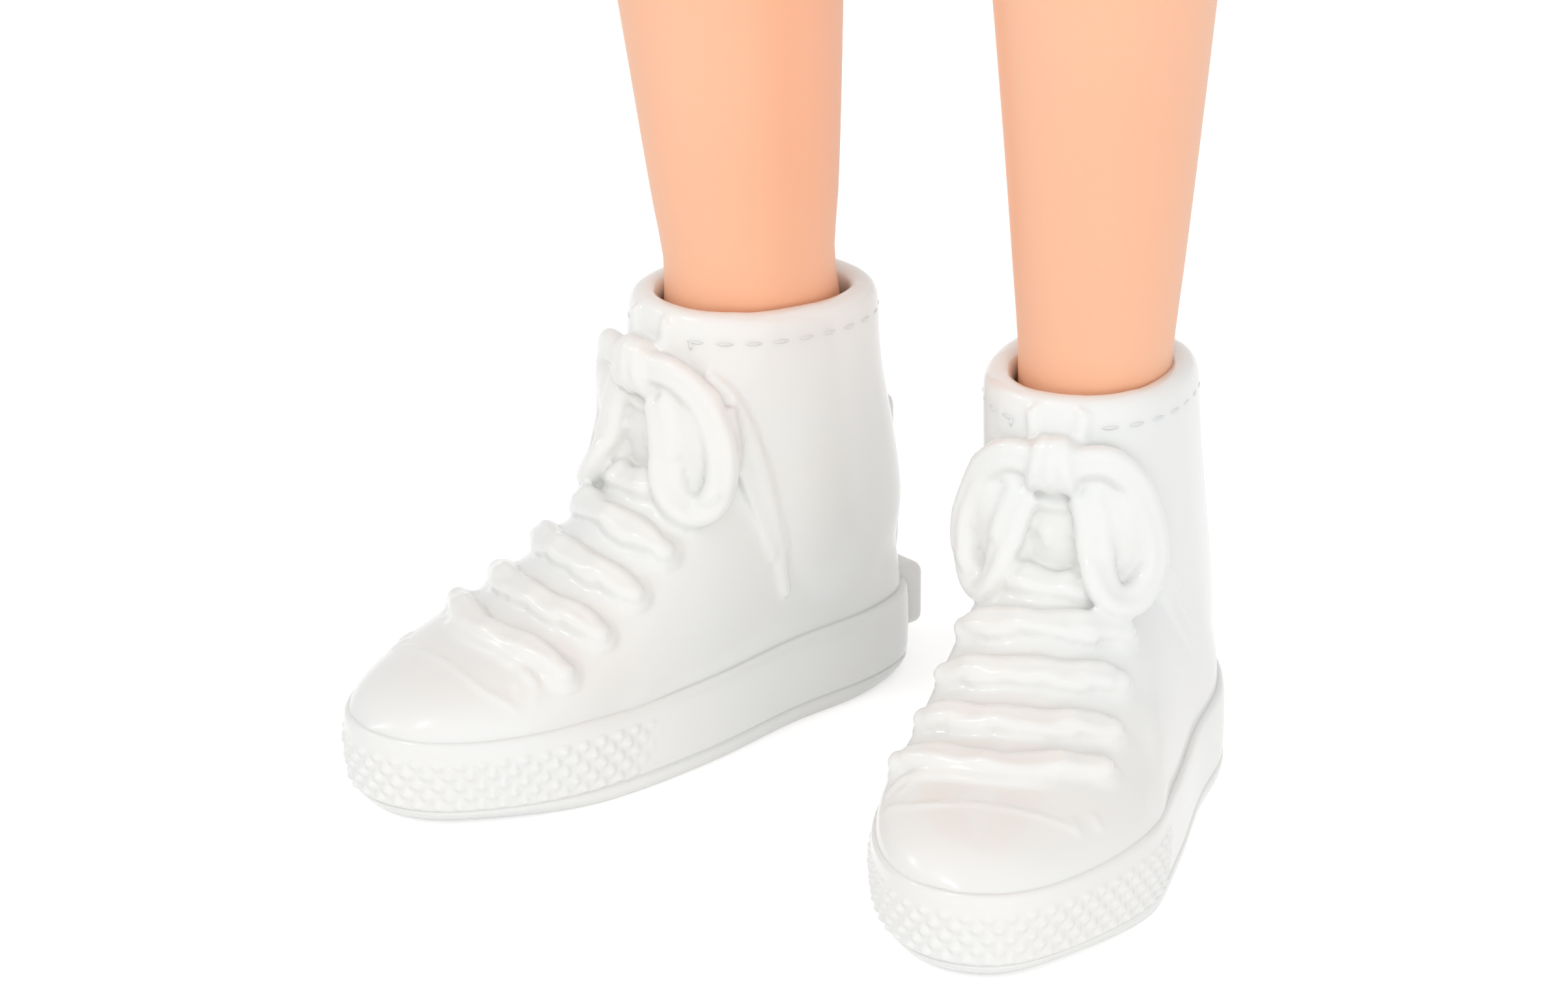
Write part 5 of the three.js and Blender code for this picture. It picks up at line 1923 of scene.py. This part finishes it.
class DOLL_OT_head(bpy.types.Operator):
    """Add the head with its painted face, the hair with its knot and tie, and the earrings"""

    bl_idname = "doll.head"
    bl_label = "Head and hair"

    def execute(self, context):
        settings = context.scene.doll_head
        skin = context.scene.doll_body.skin
        face = face_finish("painted face", skin, settings.eyes, settings.lips).material
        piece("head_skin", head_form(), face, "head", "skin", nodes=["head"])
        hair = hair_finish("rooted hair", settings.hair).material
        combed = joined([hair_cap(), hair_knot()])
        piece("combed_hair", combed, hair, "head", "hair", nodes=["hair"], sharp=80)
        elastic = cloth_finish("hair elastic", ELASTIC, 0.7).material
        piece("gathered_tie", hair_tie(), elastic, "head", "elastic", nodes=["hair_tie"])
        metal = thing_finish("earring metal", SILVER, 0.18, metallic=1.0).material
        stud = earring()
        for side in SIDES:
            side_piece("ball_earring", side, stud, metal, "head", "metal", nodes=[f"earring_{side}"])
        stud.free()
        return {"FINISHED"}


class DOLL_OT_top(bpy.types.Operator):
    """Add the knitted top with its ribbed edges and the strip that closes its back"""

    bl_idname = "doll.top"
    bl_label = "Tank top"

    def execute(self, context):
        knit = knit_finish("jersey", context.scene.doll_clothes.knit).material
        cloth = tank_top()
        edges = joined(top_bindings(cloth))
        top = piece("jersey_top", cloth, knit, "torso", "knit", nodes=["tank_top"])
        trims = [
            piece("jersey_edges", edges, knit, "torso", "knit"),
            piece("back_strip", back_closure(), knit, "torso", "knit", nodes=["top_back_closure"]),
        ]
        return {"FINISHED"}


class DOLL_OT_shorts(bpy.types.Operator):
    """Add the denim shorts: waist, seat, two legs, cuffs, pockets, stitching and button"""

    bl_idname = "doll.shorts"
    bl_label = "Shorts"

    def execute(self, context):
        settings = context.scene.doll_clothes
        denim = denim_finish("washed denim", settings.denim).material
        thread = cloth_finish("topstitch thread", settings.thread, 0.75).material
        lining = piece("shorts_lining", shorts_yoke(), denim, "torso", "denim", nodes=["shorts_yoke"])
        band = joined([waistband(), *belt_loops()])
        piece("shorts_band", band, denim, "torso", "denim", nodes=["shorts_waistband"])
        metal = thing_finish("button metal", BRASS, 0.3, metallic=1.0).material
        piece("turned_button", button(), metal, "torso", "metal", nodes=["shorts_button"])
        half, cuff = shorts_half(), hem_cuff()
        seams, seat = shorts_seams(), shorts_stitching()
        pocket, pocket_seam = patch_pocket()
        hem = hem_stitching()
        start, end = ((TO_FRAME + Vector((0, BODY_Y, height))) * MM for height in HIP_FOLD)
        for side in SIDES:
            leg = f"leg_{side}"
            bend = ("torso", leg, start, end)
            nodes = [f"shorts_leg_{side}"]
            cloth = side_piece("shorts_half", side, half, denim, None, "denim", nodes, blend=bend)
            side_piece("shorts_seam", side, seams, thread, None, "denim", blend=bend)
            side_piece("shorts_stitching", side, seat, thread, "torso", "denim")
            side_piece("shorts_cuff", side, cuff, denim, leg, "denim")
            side_piece("cuff_stitching", side, hem, thread, leg, "denim")
            side_piece("patch_pocket", side, pocket, denim, "torso", "denim", [f"back_pocket_{side}"])
            side_piece("pocket_stitching", side, pocket_seam, thread, "torso", "denim")
        for made in (half, cuff, seams, seat, hem, pocket, pocket_seam):
            made.free()
        return {"FINISHED"}


class DOLL_OT_stage(bpy.types.Operator):
    """Add the floor, the lamps and the camera"""

    bl_idname = "doll.stage"
    bl_label = "Stage"

    def execute(self, context):
        settings = context.scene.doll_stage
        make_world(settings.ambient)
        make_floor()
        make_lamps(settings.key)
        make_camera(settings)
        context.scene.view_settings.view_transform = "Standard"
        return {"FINISHED"}


# Each lamp: its place and size in metres, its share of the key's power, and whether it shows in the gloss.
LAMPS = (
    ("key", (1.3, -1.32, 0.36), 1.7, 1.15, False),
    ("fill", (-1.6, -0.9, 0.7), 1.2, 0.1, False),
    ("spark", (-0.35, -1.1, 1.3), 0.25, 0.14, True),
    ("glint", (-1.2, -0.7, 0.85), 0.12, 0.1, True),
)
LAMP_AIM = (0, 0, 0.1)
FLOOR_RADIUS = 12
# What the floor gives off towards the camera, on top of the light that it returns, to read as white.
FLOOR_GLOW = (0.42, 0.42, 0.42)
# Where the camera looks, in millimetres: how far to its right of the doll's middle, and how high.
LOOK_RIGHT = -6.55
LOOK_UP = 12.3


def where_white(tree):
    """One where light is seen, mirrored or looked through, and none where it only lights other pieces."""
    path = tree.nodes.new("ShaderNodeLightPath")
    seen = path.outputs["Is Camera Ray"]
    for ray in ("Is Glossy Ray", "Is Transmission Ray"):
        either = tree.nodes.new("ShaderNodeMath")
        either.operation = "MAXIMUM"
        tree.links.new(seen, either.inputs[0])
        tree.links.new(path.outputs[ray], either.inputs[1])
        seen = either.outputs[0]
    return seen


def make_world(ambient):
    """Even light from all round, and plain white behind the doll."""
    world = bpy.data.worlds.new("studio")
    bpy.context.scene.world = world
    world.use_nodes = True
    tree = world.node_tree
    strength = tree.nodes.new("ShaderNodeMix")
    strength.data_type = "FLOAT"
    tree.links.new(where_white(tree), strength.inputs[0])
    strength.inputs[2].default_value = ambient
    strength.inputs[3].default_value = 1.0
    background = tree.nodes["Background"]
    background.inputs["Color"].default_value = (1, 1, 1, 1)
    tree.links.new(strength.outputs[0], background.inputs["Strength"])


def make_floor():
    """A white floor that reads as the white behind it, apart from the doll's shadow."""
    bm = bmesh.new()
    bmesh.ops.create_circle(bm, cap_ends=True, segments=96, radius=FLOOR_RADIUS)
    mesh = new_mesh("floor", bm)
    floor = new_object("floor", mesh)
    finish = Finish("floor", Roughness=0.9)
    finish.set("Specular IOR Level", 0.0)
    grain = finish.noise(300)
    finish.set("Base Color", finish.blend(grain, (0.92, 0.92, 0.92), (0.9, 0.9, 0.9)))
    seen = Wire(finish, where_white(finish.tree))
    finish.set("Emission Color", finish.blend(seen, (0, 0, 0), FLOOR_GLOW))
    finish.set("Emission Strength", 1.0)
    mesh.materials.append(finish.material)


def aimed(name, data, place, direction):
    """A lamp or a camera at a place, turned to look in a direction."""
    made = new_object(name, data)
    made.location = place
    made.rotation_mode = "QUATERNION"
    made.rotation_quaternion = direction.to_track_quat("-Z", "Y")
    return made


def make_lamps(power):
    """A large soft lamp low beside the camera, a weak one opposite, and two small ones that glint."""
    for name, place, size, share, shows in LAMPS:
        light = bpy.data.lights.new(name, "AREA")
        light.shape = "DISK"
        light.size = size
        light.energy = power * share
        lamp = aimed(name, light, place, Vector(LAMP_AIM) - Vector(place))
        lamp.visible_glossy = shows


def make_camera(settings):
    """The photograph's view of the two sneakers, computed for the photograph's frame."""
    a, e = settings.azimuth, settings.elevation
    right = Vector((math.cos(a), math.sin(a), 0))
    back = Vector((math.sin(a) * math.cos(e), -math.cos(a) * math.cos(e), math.sin(e)))
    target = (right * LOOK_RIGHT + Vector((0, 0, LOOK_UP)) + TO_FRAME) * MM
    data = bpy.data.cameras.new("camera")
    data.lens = data.sensor_width * settings.distance / settings.width
    data.clip_start = 0.01
    bpy.context.scene.camera = aimed("camera", data, target + back * settings.distance, -back)


class DOLL_PT_panel(bpy.types.Panel):
    """The doll's sizes, colours and pieces"""

    bl_idname = "DOLL_PT_panel"
    bl_label = "Doll"
    bl_space_type = "VIEW_3D"
    bl_region_type = "UI"
    bl_category = "Doll"

    def draw(self, context):
        for group, settings in (
            (context.scene.doll_shoes, ("vinyl", "stud_pitch", "stud_row", "stud_depth")),
            (context.scene.doll_body, ("skin",)),
            (context.scene.doll_head, ("hair", "eyes", "lips")),
            (context.scene.doll_clothes, ("knit", "denim", "thread")),
            (context.scene.doll_stage, ("azimuth", "elevation", "distance", "width", "ambient", "key")),
        ):
            for setting in settings:
                self.layout.prop(group, setting)
        for operator in OPERATORS:
            self.layout.operator(operator.bl_idname)


GROUPS = {
    "doll_shoes": DollShoes,
    "doll_body": DollBody,
    "doll_head": DollHead,
    "doll_clothes": DollClothes,
    "doll_stage": DollStage,
}
OPERATORS = (
    DOLL_OT_stage,
    DOLL_OT_legs,
    DOLL_OT_sneakers,
    DOLL_OT_body,
    DOLL_OT_head,
    DOLL_OT_top,
    DOLL_OT_shorts,
)


def register():
    for group in GROUPS.values():
        bpy.utils.register_class(group)
    for operator in OPERATORS:
        bpy.utils.register_class(operator)
    bpy.utils.register_class(DOLL_PT_panel)
    for name, group in GROUPS.items():
        setattr(bpy.types.Scene, name, PointerProperty(type=group))


def unregister():
    for name in GROUPS:
        delattr(bpy.types.Scene, name)
    bpy.utils.unregister_class(DOLL_PT_panel)
    for kind in (*OPERATORS, *GROUPS.values()):
        bpy.utils.unregister_class(kind)


def main():
    register()
    bpy.ops.doll.stage()
    bpy.ops.doll.legs()
    bpy.ops.doll.sneakers()
    bpy.ops.doll.body()
    bpy.ops.doll.head()
    bpy.ops.doll.top()
    bpy.ops.doll.shorts()


if __name__ == "__main__":
    main()
